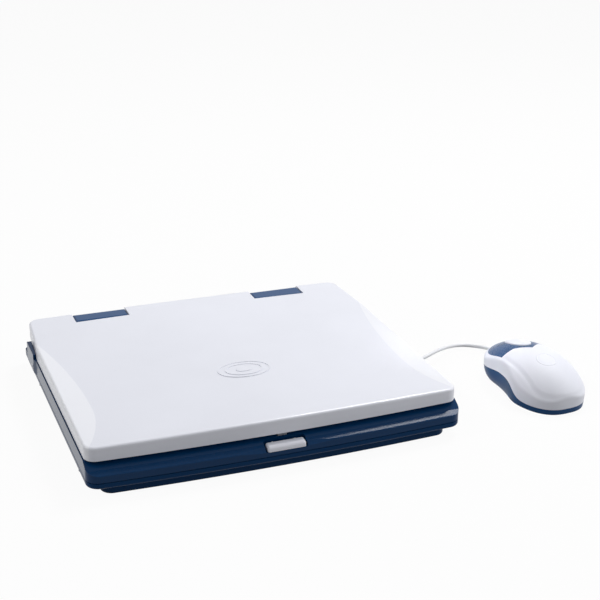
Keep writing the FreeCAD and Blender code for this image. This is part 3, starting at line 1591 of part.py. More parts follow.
def make_cord():
    route = cord_route()
    runs = [after - before for before, after in zip(route, route[1:])]
    edges = []
    radii = []
    start = route[0]
    for corner, before, after in zip(route[1:-1], runs, runs[1:]):
        half_turn = before.getAngle(after) / 2
        trim = BEND_SHARE * min(before.Length, after.Length)
        radii.append(trim / math.tan(half_turn))
        way_in = before / before.Length
        way_out = after / after.Length
        arc_start = corner - way_in * trim
        arc_end = corner + way_out * trim
        inward = (way_out - way_in) / (way_out - way_in).Length
        sagitta = radii[-1] * (1 / math.cos(half_turn) - 1)
        edges.append(Part.LineSegment(start, arc_start).toShape())
        edges.append(Part.Arc(arc_start, corner + inward * sagitta, arc_end).toShape())
        start = arc_end
    edges.append(Part.LineSegment(start, route[-1]).toShape())
    path = Part.Wire(edges)
    radius = float(s.cord_diameter) / 2
    section = Part.Wire(Part.makeCircle(radius, route[0], runs[0]))
    tube = path.makePipeShell([section], True, False)
    print("cord radii", [round(value, 1) for value in radii])
    print("cord length", round(path.Length, 1))
    print("cord volume over section times length", tube.Volume / (math.pi * radius**2 * path.Length))
    keep("mouse_cord", plain("MouseCord", tube))


make_lid_shell()
make_lid_inside()
make_hinges()
make_base_upper()
make_base_lower()
make_batteries()
make_keyboard()
make_latch()
make_sockets()
make_mouse()
make_cord()

doc.recompute()
for item in doc.Objects:
    if "Invalid" in item.State or "Error" in item.State:
        raise RuntimeError(f"{item.Name} failed: {item.State}")
for name, item in pieces.items():
    shape = item.Shape
    if shape.isNull() or not shape.isValid():
        raise RuntimeError(f"{name} has no valid shape")

os.makedirs("parts", exist_ok=True)
for name, item in pieces.items():
    item.Shape.exportStep(f"parts/{name}.step")
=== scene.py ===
import json
import math
from functools import cached_property
from typing import NamedTuple

import bmesh
import bpy
from bpy.props import FloatProperty, FloatVectorProperty, IntProperty, PointerProperty
from bpy.types import Operator, Panel, PropertyGroup
from mathutils import Matrix, Vector
from mathutils.bvhtree import BVHTree


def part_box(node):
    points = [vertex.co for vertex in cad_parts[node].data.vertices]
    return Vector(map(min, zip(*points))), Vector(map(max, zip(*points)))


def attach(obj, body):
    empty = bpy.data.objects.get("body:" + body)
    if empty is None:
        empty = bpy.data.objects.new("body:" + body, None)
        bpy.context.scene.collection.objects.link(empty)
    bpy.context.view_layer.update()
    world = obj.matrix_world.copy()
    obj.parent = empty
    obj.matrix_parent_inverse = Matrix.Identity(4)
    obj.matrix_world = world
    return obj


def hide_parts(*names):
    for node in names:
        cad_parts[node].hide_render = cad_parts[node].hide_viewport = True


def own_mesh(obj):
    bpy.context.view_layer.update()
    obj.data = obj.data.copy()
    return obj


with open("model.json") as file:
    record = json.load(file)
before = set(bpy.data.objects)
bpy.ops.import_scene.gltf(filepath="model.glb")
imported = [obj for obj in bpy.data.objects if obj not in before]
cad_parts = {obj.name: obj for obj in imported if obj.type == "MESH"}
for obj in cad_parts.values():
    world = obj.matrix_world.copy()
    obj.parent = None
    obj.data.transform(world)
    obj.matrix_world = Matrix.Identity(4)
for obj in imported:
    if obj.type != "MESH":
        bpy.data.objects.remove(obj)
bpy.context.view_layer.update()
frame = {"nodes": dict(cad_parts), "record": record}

bl_info = {
    "name": "Toy Laptop Finishes",
    "version": (1, 0, 0),
    "blender": (4, 5, 0),
    "location": "View3D > Sidebar > Toy Laptop",
    "description": "Finishes, cord and fine pieces of a toy laptop with a corded mouse",
    "category": "Object",
}

NODES = frame["nodes"]
SLOT_OF = {part["node"]: part["material_slot"] for part in frame["record"]["subparts"]}

MICRON = 0.000001
WHITE = (1.0, 1.0, 1.0)
DOWN = Vector((0.0, 0.0, -1.0))

# Control points of the mouse's cord, from the plug's boot to the strain relief at the mouse's nose
CORD_ROUTE = [
    (0.1610, -0.0190, 0.0140),
    (0.1662, -0.0190, 0.0140),
    (0.1716, -0.0164, 0.0137),
    (0.1806, -0.0089, 0.0120),
    (0.1931, 0.0014, 0.0094),
    (0.2051, 0.0104, 0.0067),
    (0.2156, 0.0166, 0.0045),
    (0.2247, 0.0194, 0.0030),
    (0.2330, 0.0184, 0.0023),
    (0.2386, 0.0126, 0.0030),
    (0.2407, 0.0038, 0.0054),
    (0.2403, -0.0050, 0.0083),
    (0.239857, -0.014855, 0.0112),
    (0.240219, -0.020042, 0.0112),
]

# Steps of the latch springs' wire in one turn
STEPS_PER_TURN = 16

# Pieces whose finish differs from the rest of their slot
OWN_FINISH = {
    "lid_shell": "lid_gloss",
    "base_upper_shell": "lip_gloss",
    "mouse_top_shell": "mouse_back",
    "mouse_button": "mouse_white",
    "mouse_front_insert": "insert_blue",
    "mouse_lower_shell": "mouse_blue",
}

# The floor lies just below the part. Rays that show it see mostly its glow, so that it looks white,
# and see the part's shadow in the rest
FLOOR_LEVEL = -0.0003
FLOOR_REACH = 8.0
FLOOR_GREY = (0.4, 0.4, 0.4)
FLOOR_GLOW = 1.05
GLOW_SHARE = 0.9

# Strength of the world for the rays that show it
BACKDROP = 0.955


class Softbox(NamedTuple):
    """Square lamp: where it hangs and points, its width, and the angle that its light spreads over."""

    name: str
    place: tuple
    target: tuple
    width: float
    spread: float = math.pi


# Softbox of each power in the stage's settings
SOFTBOXES = {
    "top_light": Softbox(
        "top_softbox", place=(0.75, 0.50, 1.30), target=(0.05, 0.0, 0.02), width=0.45
    ),
    "left_light": Softbox(
        "left_softbox", place=(-1.25, 0.15, 1.05), target=(0.0, 0.0, 0.02), width=1.0
    ),
    "right_light": Softbox(
        "right_softbox", place=(1.3, -0.5, 0.7), target=(0.1, 0.0, 0.02), width=1.4
    ),
    "mouse_light": Softbox(
        "mouse_fill",
        place=(-0.15, 0.06, 0.34),
        target=(0.225, -0.06, 0.015),
        width=0.06,
        spread=math.radians(13.0),
    ),
}


def colour(name, description, default):
    """Colour property of a finish."""
    return FloatVectorProperty(
        name=name, description=description, subtype="COLOR", size=3, min=0.0, max=1.0, default=default
    )


def metres(name, description, default):
    """Property of a length."""
    return FloatProperty(name=name, description=description, default=default, unit="LENGTH")


def spot(name, description, default):
    """Property of a place, seen from above where it has two coordinates."""
    return FloatVectorProperty(
        name=name, description=description, default=default, size=len(default), unit="LENGTH"
    )


def angle(name, description, degrees):
    """Property of an angle."""
    return FloatProperty(
        name=name, description=description, default=math.radians(degrees), unit="ROTATION"
    )


def watts(name, description, default):
    """Property of a lamp's power."""
    return FloatProperty(name=name, description=description, default=default, unit="POWER")


def share(name, description, default):
    """Property from 0 to 1."""
    return FloatProperty(
        name=name, description=description, default=default, min=0.0, max=1.0, subtype="FACTOR"
    )


class FinishSettings(PropertyGroup):
    """Colours of the pieces."""

    white: colour("White", "Lid and top of the mouse", (0.775, 0.79, 0.865))
    navy: colour("Navy", "Two halves of the base", (0.002, 0.036, 0.116))
    slate: colour("Slate", "Hinge covers", (0.022, 0.072, 0.185))
    mouse_blue: colour("Mouse blue", "Lower shell and insert of the mouse", (0.012, 0.062, 0.175))
    bezel: colour("Bezel", "Inner face of the lid and keyboard plate", (0.52, 0.56, 0.63))
    keys: colour("Keys", "Rubber key mat", (0.70, 0.73, 0.78))
    cord: colour("Cord", "Jacket of the cord and its plug", (0.78, 0.79, 0.82))
    hook: colour("Hook", "Latch hook under the lid", (0.32, 0.33, 0.36))
    black: colour("Black", "Sockets and inner plastic pieces", (0.012, 0.012, 0.014))
    feet: colour("Feet", "Rubber feet and bumpers", (0.012, 0.012, 0.013))
    steel: colour("Steel", "Screws, hinge pins and springs", (0.60, 0.60, 0.62))
    nickel: colour("Nickel", "Battery contacts", (0.70, 0.67, 0.60))
    gloss: share("Gloss roughness", "Roughness of the polished white plastic", 0.3)


class FacetSettings(PropertyGroup):
    """Lens-shaped facets down the lid's sides, with a painted highlight in them."""

    widest: metres("Widest point", "Where along the lid the facets are widest", -0.062)
    edge: metres("Edge", "Reach of their edge from the lid's middle line, at that point", 0.1285)
    rear_bend: FloatProperty(
        name="Rear bend", description="Bend of the edge behind that point, for each metre", default=1.03
    )
    front_bend: FloatProperty(
        name="Front bend", description="Bend of the edge before that point, for each metre", default=4.70
    )
    # The facets' paler tone is a painted highlight: softness sets the width of its soft edge
    softness: metres("Softness", "Width over which their paler tone sets in", 0.0008)
    tilt: share("Tilt", "Rise of the facets for each metre outwards", 0.05)
    # Share of the painted highlight, a paler tone, in the facets
    painted_highlight_share: share("Paleness", "Share of the paler tone in them", 0.5)


class MouseSettings(PropertyGroup):
    """Groove and plain ring on the mouse's back."""

    middle: spot("Middle", "Middle of the mouse, seen from above", (0.2443, -0.0784))
    heading: angle("Heading", "Turn of the mouse, seen from above", 4.0)
    crown_width: metres("Crown width", "Width of the crown inside the groove", 0.048)
    crown_turn: metres("Crown turn", "How far behind the middle the groove turns inwards", 0.030)
    crown_end: metres("Crown end", "Length of the crown behind that turn", 0.0205)
    groove_depth: metres("Groove depth", "Depth of the groove round the crown", 0.0004)
    ring_centre: spot("Ring centre", "Middle of the ring, seen from above", (0.2453, -0.0934))
    ring_radius: metres("Ring radius", "Radius of the ring", 0.008)
    ring_width: metres("Ring width", "Width of the ring", 0.0012)
    ring_height: metres("Ring height", "Height of the ring above the shell", 0.0002)


class CordSettings(PropertyGroup):
    """Sizes of the mouse's cord."""

    diameter: metres("Diameter", "Thickness of the cord", 0.0032)
    length: metres("Length", "Length from boot to strain relief", 0.1265)


class SpringSettings(PropertyGroup):
    """Sizes of the latch's return springs."""

    turns: IntProperty(name="Turns", description="Turns of wire in a spring", default=7, min=2)
    wire: metres("Wire", "Thickness of the wire", 0.0004)


class StageSettings(PropertyGroup):
    """Camera and light."""

    eye: spot("Camera", "Place of the camera", (-0.2979, -0.8969, 0.4631))
    yaw: angle("Yaw", "Turn of the view to the right", 21.85)
    pitch: angle("Pitch", "Tilt of the view downwards", 21.82)
    roll: angle("Roll", "Roll of the view", 0.99)
    lens: FloatProperty(
        name="Lens", description="Focal length in millimetres", default=75.2, subtype="DISTANCE_CAMERA"
    )
    top_light: watts("Top light", "Power of the softbox above", 13.5)
    left_light: watts("Left light", "Power of the softbox at the left", 8.0)
    right_light: watts("Right light", "Power of the softbox at the right", 10.5)
    mouse_light: watts("Mouse light", "Power of the narrow softbox on the mouse", 0.009)
    ambient: FloatProperty(
        name="Ambient", description="Strength of the light from all round", default=0.25, min=0.0
    )


class Wire:
    """One socket of a material or a world. Arithmetic on it adds Math nodes."""

    def __init__(self, look, socket):
        self.look = look
        self.socket = socket

    def __add__(self, other):
        return self.look.calculate("ADD", self, other)

    def __radd__(self, other):
        return self.look.calculate("ADD", other, self)

    def __sub__(self, other):
        return self.look.calculate("SUBTRACT", self, other)

    def __rsub__(self, other):
        return self.look.calculate("SUBTRACT", other, self)

    def __mul__(self, other):
        return self.look.calculate("MULTIPLY", self, other)

    def __rmul__(self, other):
        return self.look.calculate("MULTIPLY", other, self)

    def __pow__(self, other):
        return self.look.calculate("POWER", self, other)

    def __abs__(self):
        return self.look.calculate("ABSOLUTE", self)

    def __gt__(self, other):
        return self.look.calculate("GREATER_THAN", self, other)

    def __lt__(self, other):
        return self.look.calculate("LESS_THAN", self, other)


class Look:
    """The nodes that give a material or a world its look."""

    def __init__(self, owner):
        owner.use_nodes = True
        self.owner = owner
        self.nodes = owner.node_tree.nodes
        self.links = owner.node_tree.links

    @cached_property
    def place(self):
        """Place on the surface, in object space."""
        return self.add("TexCoord", out="Object")

    def put(self, socket, value):
        """Link a socket, or set its value."""
        if isinstance(value, Wire):
            self.links.new(value.socket, socket)
        elif socket.type == "RGBA" and len(value) == 3:
            socket.default_value = (*value, 1.0)
        else:
            socket.default_value = value

    def add(self, kind, settings=None, sockets=None, out=0):
        """Add a node with its settings, then the values or links of its sockets."""
        node = self.nodes.new("ShaderNode" + kind)
        for name, value in (settings or {}).items():
            setattr(node, name, value)
        for name, value in (sockets or {}).items():
            self.put(node.inputs[name], value)
        return Wire(self, node.outputs[out])

    def calculate(self, operation, first, second=0.0):
        """Result of a Math node."""
        return self.add("Math", {"operation": operation}, {0: first, 1: second})

    def noise(self, scale, detail=2.0, stretch=(1.0, 1.0, 1.0)):
        """Noise from 0 to 1 in object space, with this many grains to a metre."""
        place = self.add("Mapping", None, {"Vector": self.place, "Scale": stretch})
        return self.add("TexNoise", None, {"Vector": place, "Scale": scale, "Detail": detail})

    def blend(self, factor, first, second):
        """Colour between two others."""
        return self.add("Mix", {"data_type": "RGBA"}, {0: factor, 6: first, 7: second}, out=2)

    def axis(self, name, place=None):
        """One coordinate of a place, in metres, in object space where none is given."""
        return self.add("SeparateXYZ", None, {"Vector": place or self.place}, out=name)

    def ramp(self, value, start, end):
        """Soft step from 0 at start to 1 at end."""
        sockets = {"Value": value, "From Min": start, "From Max": end}
        return self.add("MapRange", {"interpolation_type": "SMOOTHSTEP"}, sockets)

    def bump(self, height, strength=1.0, depth=1.0):
        """Normal of a surface raised by a height, times a depth in metres."""
        sockets = {"Height": height, "Strength": strength, "Distance": depth}
        return self.add("Bump", None, sockets, out="Normal")

    def set(self, **values):
        """Values or links of the material's shader, such as base_color."""
        for name, value in values.items():
            label = name.replace("_", " ").title().replace("Ior", "IOR")
            self.put(self.nodes["Principled BSDF"].inputs[label], value)
        return self.owner


def new_look(name):
    """Look of a new material."""
    return Look(bpy.data.materials.new(name))


def wander(middle, spread, noise):
    """Value that noise carries up and down from its middle, over this spread."""
    return middle + spread * (noise - 0.5)


def between(low, high, noise):
    """Value that goes from low to high with the noise."""
    return low + (high - low) * noise


def darker(tone, kept):
    """Tone with this share of its light."""
    return [kept * part for part in tone]


def paler(tone, step):
    """Tone taken this share of the way to white."""
    return [part + step * (1.0 - part) for part in tone]


def side_facets(look):
    """Relief of the lid: a facet down each side, tilted inwards from its curved edge, with a paler tone
    painted in it as a highlight.
    """
    facets = bpy.context.scene.toy_facets
    along = look.axis("Y") - facets.widest
    bend = facets.rear_bend + (facets.front_bend - facets.rear_bend) * (along < 0.0)
    beyond = abs(look.axis("X")) - (facets.edge + bend * (along * along))
    rise = facets.tilt * look.calculate("MAXIMUM", beyond, 0.0)
    # The second value is the mask where a paler tone is painted in the facets as a highlight
    return rise, facets.painted_highlight_share * look.ramp(beyond, 0.0, facets.softness)


def mouse_crown(look):
    """Relief of the mouse: a groove round the crown of its back."""
    mouse = bpy.context.scene.toy_mouse
    place = look.add(
        "Mapping",
        {"vector_type": "TEXTURE"},
        {
            "Vector": look.place,
            "Location": (*mouse.middle, 0.0),
            "Rotation": (0.0, 0.0, mouse.heading),
        },
    )
    across = look.axis("X", place)
    behind = look.calculate("MINIMUM", look.axis("Y", place) + mouse.crown_turn, 0.0)
    side_share = (across * across) * (2 / mouse.crown_width) ** 2
    rear_share = (behind * behind) * (1 / mouse.crown_end) ** 2
    reach = (side_share + rear_share) ** 0.5
    inner, bottom, outer = 0.86, 1.0, 1.10
    groove = look.ramp(reach, inner, bottom) * (1.0 - look.ramp(reach, bottom, outer))
    return -mouse.groove_depth * groove, None


def moulded(name, tone, roughness, grain, depth, coat=0.0, shine=0.5, relief=None):
    """Moulded plastic: faint clouds in its colour and fine grain in its gloss and surface. A relief adds
    its bumps, and may give a mask where a paler tone is painted as a highlight.
    """
    look = new_look(name)
    cloud = look.noise(scale=16.0, detail=3.0)
    fine = look.noise(scale=grain)
    ground = look.blend(cloud, darker(tone, kept=0.92), tone)
    height = fine * depth
    if relief:
        raised, painted_highlight_mask = relief(look)
        height = height + raised
        # Where the relief gives a mask, a paler tone is painted there as a highlight
        if painted_highlight_mask:
            ground = look.blend(painted_highlight_mask, ground, paler(tone, step=0.5))
    return look.set(
        base_color=ground,
        roughness=wander(wander(roughness, spread=0.10, noise=fine), spread=0.05, noise=cloud),
        normal=look.bump(height),
        coat_weight=coat,
        coat_roughness=0.06,
        specular_ior_level=shine,
        ior=1.5,
    )


def soft_rubber(name, tone, roughness):
    """Matte rubber with a fine bloom."""
    look = new_look(name)
    bloom = look.noise(scale=140.0, detail=4.0)
    fine = look.noise(scale=2600.0)
    return look.set(
        base_color=look.blend(bloom, tone, paler(tone, step=0.05)),
        roughness=wander(roughness, spread=0.15, noise=fine),
        normal=look.bump(fine, strength=0.2, depth=80 * MICRON),
    )


def drawn_metal(name, tone, stretch):
    """Plated metal with fine drawing lines."""
    look = new_look(name)
    lines = look.noise(scale=900.0, detail=3.0, stretch=stretch)
    return look.set(
        base_color=look.blend(lines, darker(tone, kept=0.75), tone),
        metallic=1.0,
        roughness=between(0.24, 0.46, lines),
        normal=look.bump(lines, strength=0.15, depth=30 * MICRON),
    )


def clear_pane(name):
    """Clear plastic pane with faint smears."""
    look = new_look(name)
    smear = look.noise(scale=30.0, detail=4.0)
    return look.set(
        base_color=(0.93, 0.96, 0.97),
        roughness=between(0.02, 0.09, smear),
        transmission_weight=1.0,
        ior=1.45,
    )


def display_face(name):
    """Unlit display: dark grey-green cells in a fine grid."""
    look = new_look(name)
    cell_width = 0.0008
    line_share = 0.12
    columns = look.calculate("FRACT", look.axis("X") * (1.0 / cell_width)) < line_share
    rows = look.calculate("FRACT", look.axis("Y") * (1.0 / cell_width)) < line_share
    cloud = look.noise(scale=9.0)
    cell = look.blend(cloud, (0.075, 0.095, 0.085), (0.11, 0.13, 0.115))
    line = (0.05, 0.06, 0.055)
    return look.set(
        base_color=look.blend(look.calculate("MAXIMUM", columns, rows), cell, line),
        roughness=between(0.18, 0.26, cloud),
    )


def circuit_board(name):
    """Green board with paler tracks."""
    look = new_look(name)
    tracks = look.add(
        "TexBrick",
        {"offset": 0.37, "squash": 0.6},
        {"Vector": look.place, "Scale": 70.0, "Mortar Size": 0.035},
        out="Fac",
    )
    cloud = look.noise(scale=60.0, detail=3.0)
    board = look.blend(cloud, (0.012, 0.11, 0.045), (0.02, 0.15, 0.06))
    track = (0.05, 0.26, 0.10)
    return look.set(
        base_color=look.blend(tracks, board, track),
        roughness=between(0.38, 0.48, cloud),
        normal=look.bump(tracks, strength=0.3, depth=50 * MICRON),
    )


def cell_foil(name):
    """Dark foil jacket, with a coppery band towards the outer ends of the cells."""
    look = new_look(name)
    band_start = 0.038
    band = abs(look.axis("X")) > band_start
    cloud = look.noise(scale=40.0)
    jacket = look.blend(cloud, (0.010, 0.011, 0.014), (0.03, 0.031, 0.036))
    copper = (0.55, 0.26, 0.11)
    return look.set(
        base_color=look.blend(band, jacket, copper),
        metallic=0.85 * band,
        roughness=between(0.28, 0.38, cloud),
    )


def finishes():
    """Material of each of the record's slots, and of the pieces with a finish of their own."""
    tones = bpy.context.scene.toy_finishes
    polish = {"grain": 1500.0, "depth": 2.4 * MICRON}
    glossy = {"roughness": tones.gloss, "coat": 0.1, **polish}
    silky = {"roughness": 0.48, "grain": 2000.0, "depth": 2.4 * MICRON, "shine": 0.35}
    satin = {"grain": 2200.0, "depth": 3.6 * MICRON}
    matte = {"roughness": 0.5, "grain": 2600.0}
    return {
        "white_gloss": moulded("white_gloss", tones.white, **glossy),
        "lid_gloss": moulded("lid_gloss", tones.white, **glossy, relief=side_facets),
        "mouse_white": moulded("mouse_white", tones.white, **silky),
        "mouse_back": moulded("mouse_back", tones.white, **silky, relief=mouse_crown),
        "blue_gloss": moulded("navy_gloss", tones.navy, roughness=0.2, shine=0.05, **polish),
        "lip_gloss": moulded("lip_gloss", tones.navy, roughness=0.16, shine=0.11, **polish),
        "slate_blue": moulded(
            "slate_satin", tones.slate, roughness=0.3, grain=1900.0, depth=3.6 * MICRON, shine=0.16
        ),
        "mouse_blue": moulded("mouse_satin", tones.mouse_blue, roughness=0.32, shine=0.10, **satin),
        "insert_blue": moulded("insert_satin", tones.mouse_blue, roughness=0.28, shine=0.4, **satin),
        "grey_plastic": moulded(
            "hook_grey", tones.hook, roughness=0.42, grain=2400.0, depth=4.8 * MICRON
        ),
        "bezel_grey": moulded("bezel_matte", tones.bezel, depth=7.2 * MICRON, **matte),
        "black_plastic": moulded("black_matte", tones.black, depth=6.0 * MICRON, **matte),
        "black_rubber": soft_rubber("foot_rubber", tones.feet, roughness=0.72),
        "key_rubber": soft_rubber("key_rubber", tones.keys, roughness=0.6),
        "cord_white": soft_rubber("cord_jacket", tones.cord, roughness=0.42),
        "steel": drawn_metal("screw_steel", tones.steel, stretch=(1.0, 1.0, 8.0)),
        "contact_metal": drawn_metal("contact_nickel", tones.nickel, stretch=(1.0, 6.0, 1.0)),
        "clear_window": clear_pane("clear_pane"),
        "display_grey": display_face("display_face"),
        "board_green": circuit_board("circuit_board"),
        "cell_jacket": cell_foil("cell_foil"),
    }


def paint(piece, material):
    """Give a piece one material."""
    piece.data.materials.clear()
    piece.data.materials.append(material)


def new_object(name, data):
    """Object of a mesh, curve, lamp or camera, linked to the scene."""
    item = bpy.data.objects.new(name, data)
    bpy.context.scene.collection.objects.link(item)
    return item


def finished_mesh(name, mesh):
    """Mesh data of a bmesh, which is freed."""
    mesh.normal_update()
    data = bpy.data.meshes.new(name)
    mesh.to_mesh(data)
    mesh.free()
    return data


def new_piece(name, mesh, body, slot, *stands_for):
    """Piece of a finished bmesh that rides on a body and stands for CAD nodes."""
    piece = new_object(name, finished_mesh(name, mesh))
    piece.data.shade_smooth()
    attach(piece, body)
    if stands_for:
        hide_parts(*stands_for)
    return piece


def round_section(mesh, place, radius, segments):
    """Corners and edges of a circle, which a spin takes as the section of a wire or ring."""
    corners = bmesh.ops.create_circle(mesh, segments=segments, radius=radius, matrix=place)["verts"]
    edges = dict.fromkeys(edge for corner in corners for edge in corner.link_edges)
    return corners + list(edges)


def seen(look):
    """Mask of the rays that show the background: straight, mirrored or through glass."""
    straight, mirrored, through = (
        look.add("LightPath", out=f"Is {kind} Ray") for kind in ("Camera", "Glossy", "Transmission")
    )
    return look.calculate("MAXIMUM", look.calculate("MAXIMUM", straight, mirrored), through)


class TOYLAPTOP_OT_finishes(Operator):
    """Give every moulded, rubber and metal piece its finish"""

    bl_idname = "toylaptop.finishes"
    bl_label = "Finishes"

    def execute(self, context):
        looks = finishes()
        for name, node in NODES.items():
            paint(node, looks[OWN_FINISH.get(name, SLOT_OF[name])])
        return {"FINISHED"}


class TOYLAPTOP_OT_cord(Operator):
    """Lay the mouse's cord along its route"""

    bl_idname = "toylaptop.cord"
    bl_label = "Mouse cord"

    def execute(self, context):
        sizes = context.scene.toy_cord
        curve = bpy.data.curves.new("mouse_lead", "CURVE")
        curve.dimensions = "3D"
        curve.bevel_depth = sizes.diameter / 2
        curve.bevel_resolution = 6
        curve.resolution_u = 10
        curve.use_fill_caps = True
        spline = curve.splines.new("NURBS")
        spline.points.add(len(CORD_ROUTE) - 1)
        for point, place in zip(spline.points, CORD_ROUTE):
            point.co = (*place, 1.0)
        spline.order_u = 3
        spline.use_endpoint_u = True
        cord = new_object("mouse_lead", curve)
        paint(cord, bpy.data.materials["cord_jacket"])
        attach(cord, "base")
        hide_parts("mouse_cord")
        return {"FINISHED"}


class TOYLAPTOP_OT_springs(Operator):
    """Wind the two return springs behind the latch button"""

    bl_idname = "toylaptop.springs"
    bl_label = "Latch springs"

    def execute(self, context):
        sizes = context.scene.toy_springs
        low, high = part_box("latch_springs")
        length = high.y - low.y
        diameter = high.z - low.z
        height = (low.z + high.z) / 2
        radius = diameter / 2 - sizes.wire / 2
        side = high.x - diameter / 2
        steps = STEPS_PER_TURN * sizes.turns
        advance = (length - 2 * sizes.wire) / steps
        mesh = bmesh.new()
        for x in (-side, side):
            start = Vector((x, low.y + sizes.wire, height))
            place = Matrix.Translation(start + Vector((radius, 0, 0)))
            bmesh.ops.spin(
                mesh,
                geom=round_section(mesh, place, sizes.wire / 2, segments=8),
                cent=start,
                axis=(0, 1, 0),
                dvec=(0, advance, 0),
                angle=math.tau * sizes.turns,
                steps=steps,
            )
        open_ends = [edge for edge in mesh.edges if edge.is_boundary]
        bmesh.ops.holes_fill(mesh, edges=open_ends)
        bmesh.ops.recalc_face_normals(mesh, faces=mesh.faces)
        coils = new_piece("latch_coils", mesh, "base", "steel", "latch_springs")
        paint(coils, bpy.data.materials["screw_steel"])
        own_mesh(coils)
        return {"FINISHED"}


class TOYLAPTOP_OT_ring(Operator):
    """Lay a fine plain ring on the mouse's back"""

    bl_idname = "toylaptop.ring"
    bl_label = "Mouse ring"

    def execute(self, context):
        sizes = context.scene.toy_mouse
        centre = Vector((*sizes.ring_centre, 0.0))
        flat = Matrix.Diagonal((1.0, 1.0, 2 * sizes.ring_height / sizes.ring_width, 1.0))
        upright = Matrix.Rotation(math.pi / 2, 4, "X")
        place = Matrix.Translation(centre + Vector((sizes.ring_radius, 0.0, 0.0))) @ flat @ upright
        mesh = bmesh.new()
        bmesh.ops.spin(
            mesh,
            geom=round_section(mesh, place, sizes.ring_width / 2, segments=12),
            cent=centre,
            axis=(0, 0, 1),
            angle=math.tau,
            steps=72,
            use_merge=True,
        )
        bmesh.ops.recalc_face_normals(mesh, faces=mesh.faces)
        self.drop_on_shell(mesh)
        ring = new_piece("mouse_ring", mesh, "base", "white_gloss")
        paint(ring, bpy.data.materials["mouse_white"])
        return {"FINISHED"}

    @staticmethod
    def drop_on_shell(mesh):
        """Raise each corner of a flat ring by the height of the mouse's shell under it."""
        shell = NODES["mouse_top_shell"].data
        surface = BVHTree.FromPolygons(
            [corner.co for corner in shell.vertices], [face.vertices for face in shell.polygons]
        )
        for corner in mesh.verts:
            high_above = Vector((corner.co.x, corner.co.y, 1.0))
            corner.co.z += surface.ray_cast(high_above, DOWN)[0].z


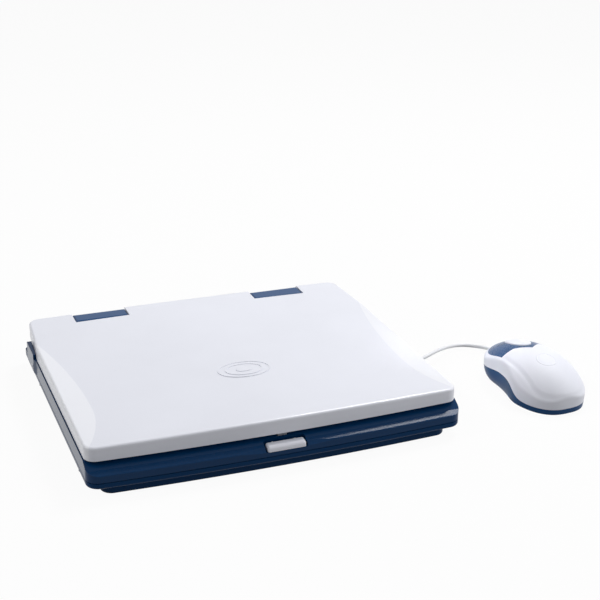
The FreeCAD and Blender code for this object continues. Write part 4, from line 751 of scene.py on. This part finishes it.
class TOYLAPTOP_OT_stage(Operator):
    """Set the floor, the lights and the camera"""

    bl_idname = "toylaptop.stage"
    bl_label = "Stage"

    def execute(self, context):
        stage = context.scene.toy_stage
        self.lay_floor()
        self.light_world(context, stage.ambient)
        for power, softbox in SOFTBOXES.items():
            self.hang_light(softbox, getattr(stage, power))
        self.set_camera(context, stage)
        context.scene.view_settings.view_transform = "Standard"
        return {"FINISHED"}

    @staticmethod
    def lay_floor():
        mesh = bmesh.new()
        level = Matrix.Translation((0.0, 0.0, FLOOR_LEVEL))
        bmesh.ops.create_grid(mesh, x_segments=4, y_segments=4, size=FLOOR_REACH, matrix=level)
        floor = new_object("floor", finished_mesh("floor", mesh))
        look = new_look("floor_white")
        paper = look.add("BsdfDiffuse", None, {"Color": FLOOR_GREY})
        glow = look.add("Emission", None, {"Color": WHITE, "Strength": FLOOR_GLOW})
        mixed = look.add("MixShader", None, {0: GLOW_SHARE * seen(look), 1: paper, 2: glow})
        look.put(look.nodes["Material Output"].inputs["Surface"], mixed)
        paint(floor, look.owner)

    @staticmethod
    def light_world(context, ambient):
        context.scene.world = bpy.data.worlds.new("studio")
        look = Look(context.scene.world)
        background = look.nodes["Background"].inputs
        look.put(background["Color"], WHITE)
        look.put(background["Strength"], ambient + (BACKDROP - ambient) * seen(look))

    @staticmethod
    def hang_light(softbox, power):
        lamp = bpy.data.lights.new(softbox.name, "AREA")
        lamp.shape = "SQUARE"
        lamp.size = softbox.width
        lamp.spread = softbox.spread
        lamp.energy = power
        item = new_object(softbox.name, lamp)
        item.location = softbox.place
        aim = Vector(softbox.target) - Vector(softbox.place)
        item.rotation_euler = aim.to_track_quat("-Z", "Y").to_euler()

    @staticmethod
    def set_camera(context, stage):
        ahead = Vector(
            (
                math.sin(stage.yaw) * math.cos(stage.pitch),
                math.cos(stage.yaw) * math.cos(stage.pitch),
                -math.sin(stage.pitch),
            )
        )
        level_right = Vector((math.cos(stage.yaw), -math.sin(stage.yaw), 0.0))
        level_up = level_right.cross(ahead)
        right = math.cos(stage.roll) * level_right + math.sin(stage.roll) * level_up
        up = math.cos(stage.roll) * level_up - math.sin(stage.roll) * level_right
        data = bpy.data.cameras.new("photo_camera")
        data.lens = stage.lens
        data.sensor_width = 36.0
        data.clip_end = 50.0
        camera = new_object("photo_camera", data)
        turn = Matrix((right, up, -ahead)).transposed().to_4x4()
        camera.matrix_world = Matrix.Translation(stage.eye) @ turn
        context.scene.camera = camera


SETTINGS = {
    "toy_finishes": FinishSettings,
    "toy_facets": FacetSettings,
    "toy_mouse": MouseSettings,
    "toy_cord": CordSettings,
    "toy_springs": SpringSettings,
    "toy_stage": StageSettings,
}

OPERATORS = (
    TOYLAPTOP_OT_finishes,
    TOYLAPTOP_OT_cord,
    TOYLAPTOP_OT_springs,
    TOYLAPTOP_OT_ring,
    TOYLAPTOP_OT_stage,
)


class TOYLAPTOP_PT_panel(Panel):
    """Lists the steps that dress the toy laptop, and their settings"""

    bl_label = "Toy Laptop"
    bl_idname = "TOYLAPTOP_PT_panel"
    bl_space_type = "VIEW_3D"
    bl_region_type = "UI"
    bl_category = "Toy Laptop"

    def draw(self, context):
        for operator in OPERATORS:
            self.layout.operator(operator.bl_idname)
        for group in SETTINGS:
            settings = getattr(context.scene, group)
            for name in settings.bl_rna.properties.keys():
                if name not in {"rna_type", "name"}:
                    self.layout.prop(settings, name)


def register():
    for group, kind in SETTINGS.items():
        bpy.utils.register_class(kind)
        setattr(bpy.types.Scene, group, PointerProperty(type=kind))
    for kind in (*OPERATORS, TOYLAPTOP_PT_panel):
        bpy.utils.register_class(kind)


def unregister():
    for kind in (TOYLAPTOP_PT_panel, *reversed(OPERATORS)):
        bpy.utils.unregister_class(kind)
    for group, kind in reversed(SETTINGS.items()):
        delattr(bpy.types.Scene, group)
        bpy.utils.unregister_class(kind)


def main():
    register()
    bpy.ops.toylaptop.finishes()
    bpy.ops.toylaptop.cord()
    bpy.ops.toylaptop.springs()
    bpy.ops.toylaptop.ring()
    bpy.ops.toylaptop.stage()
    bpy.context.view_layer.update()


if __name__ == "__main__":
    main()
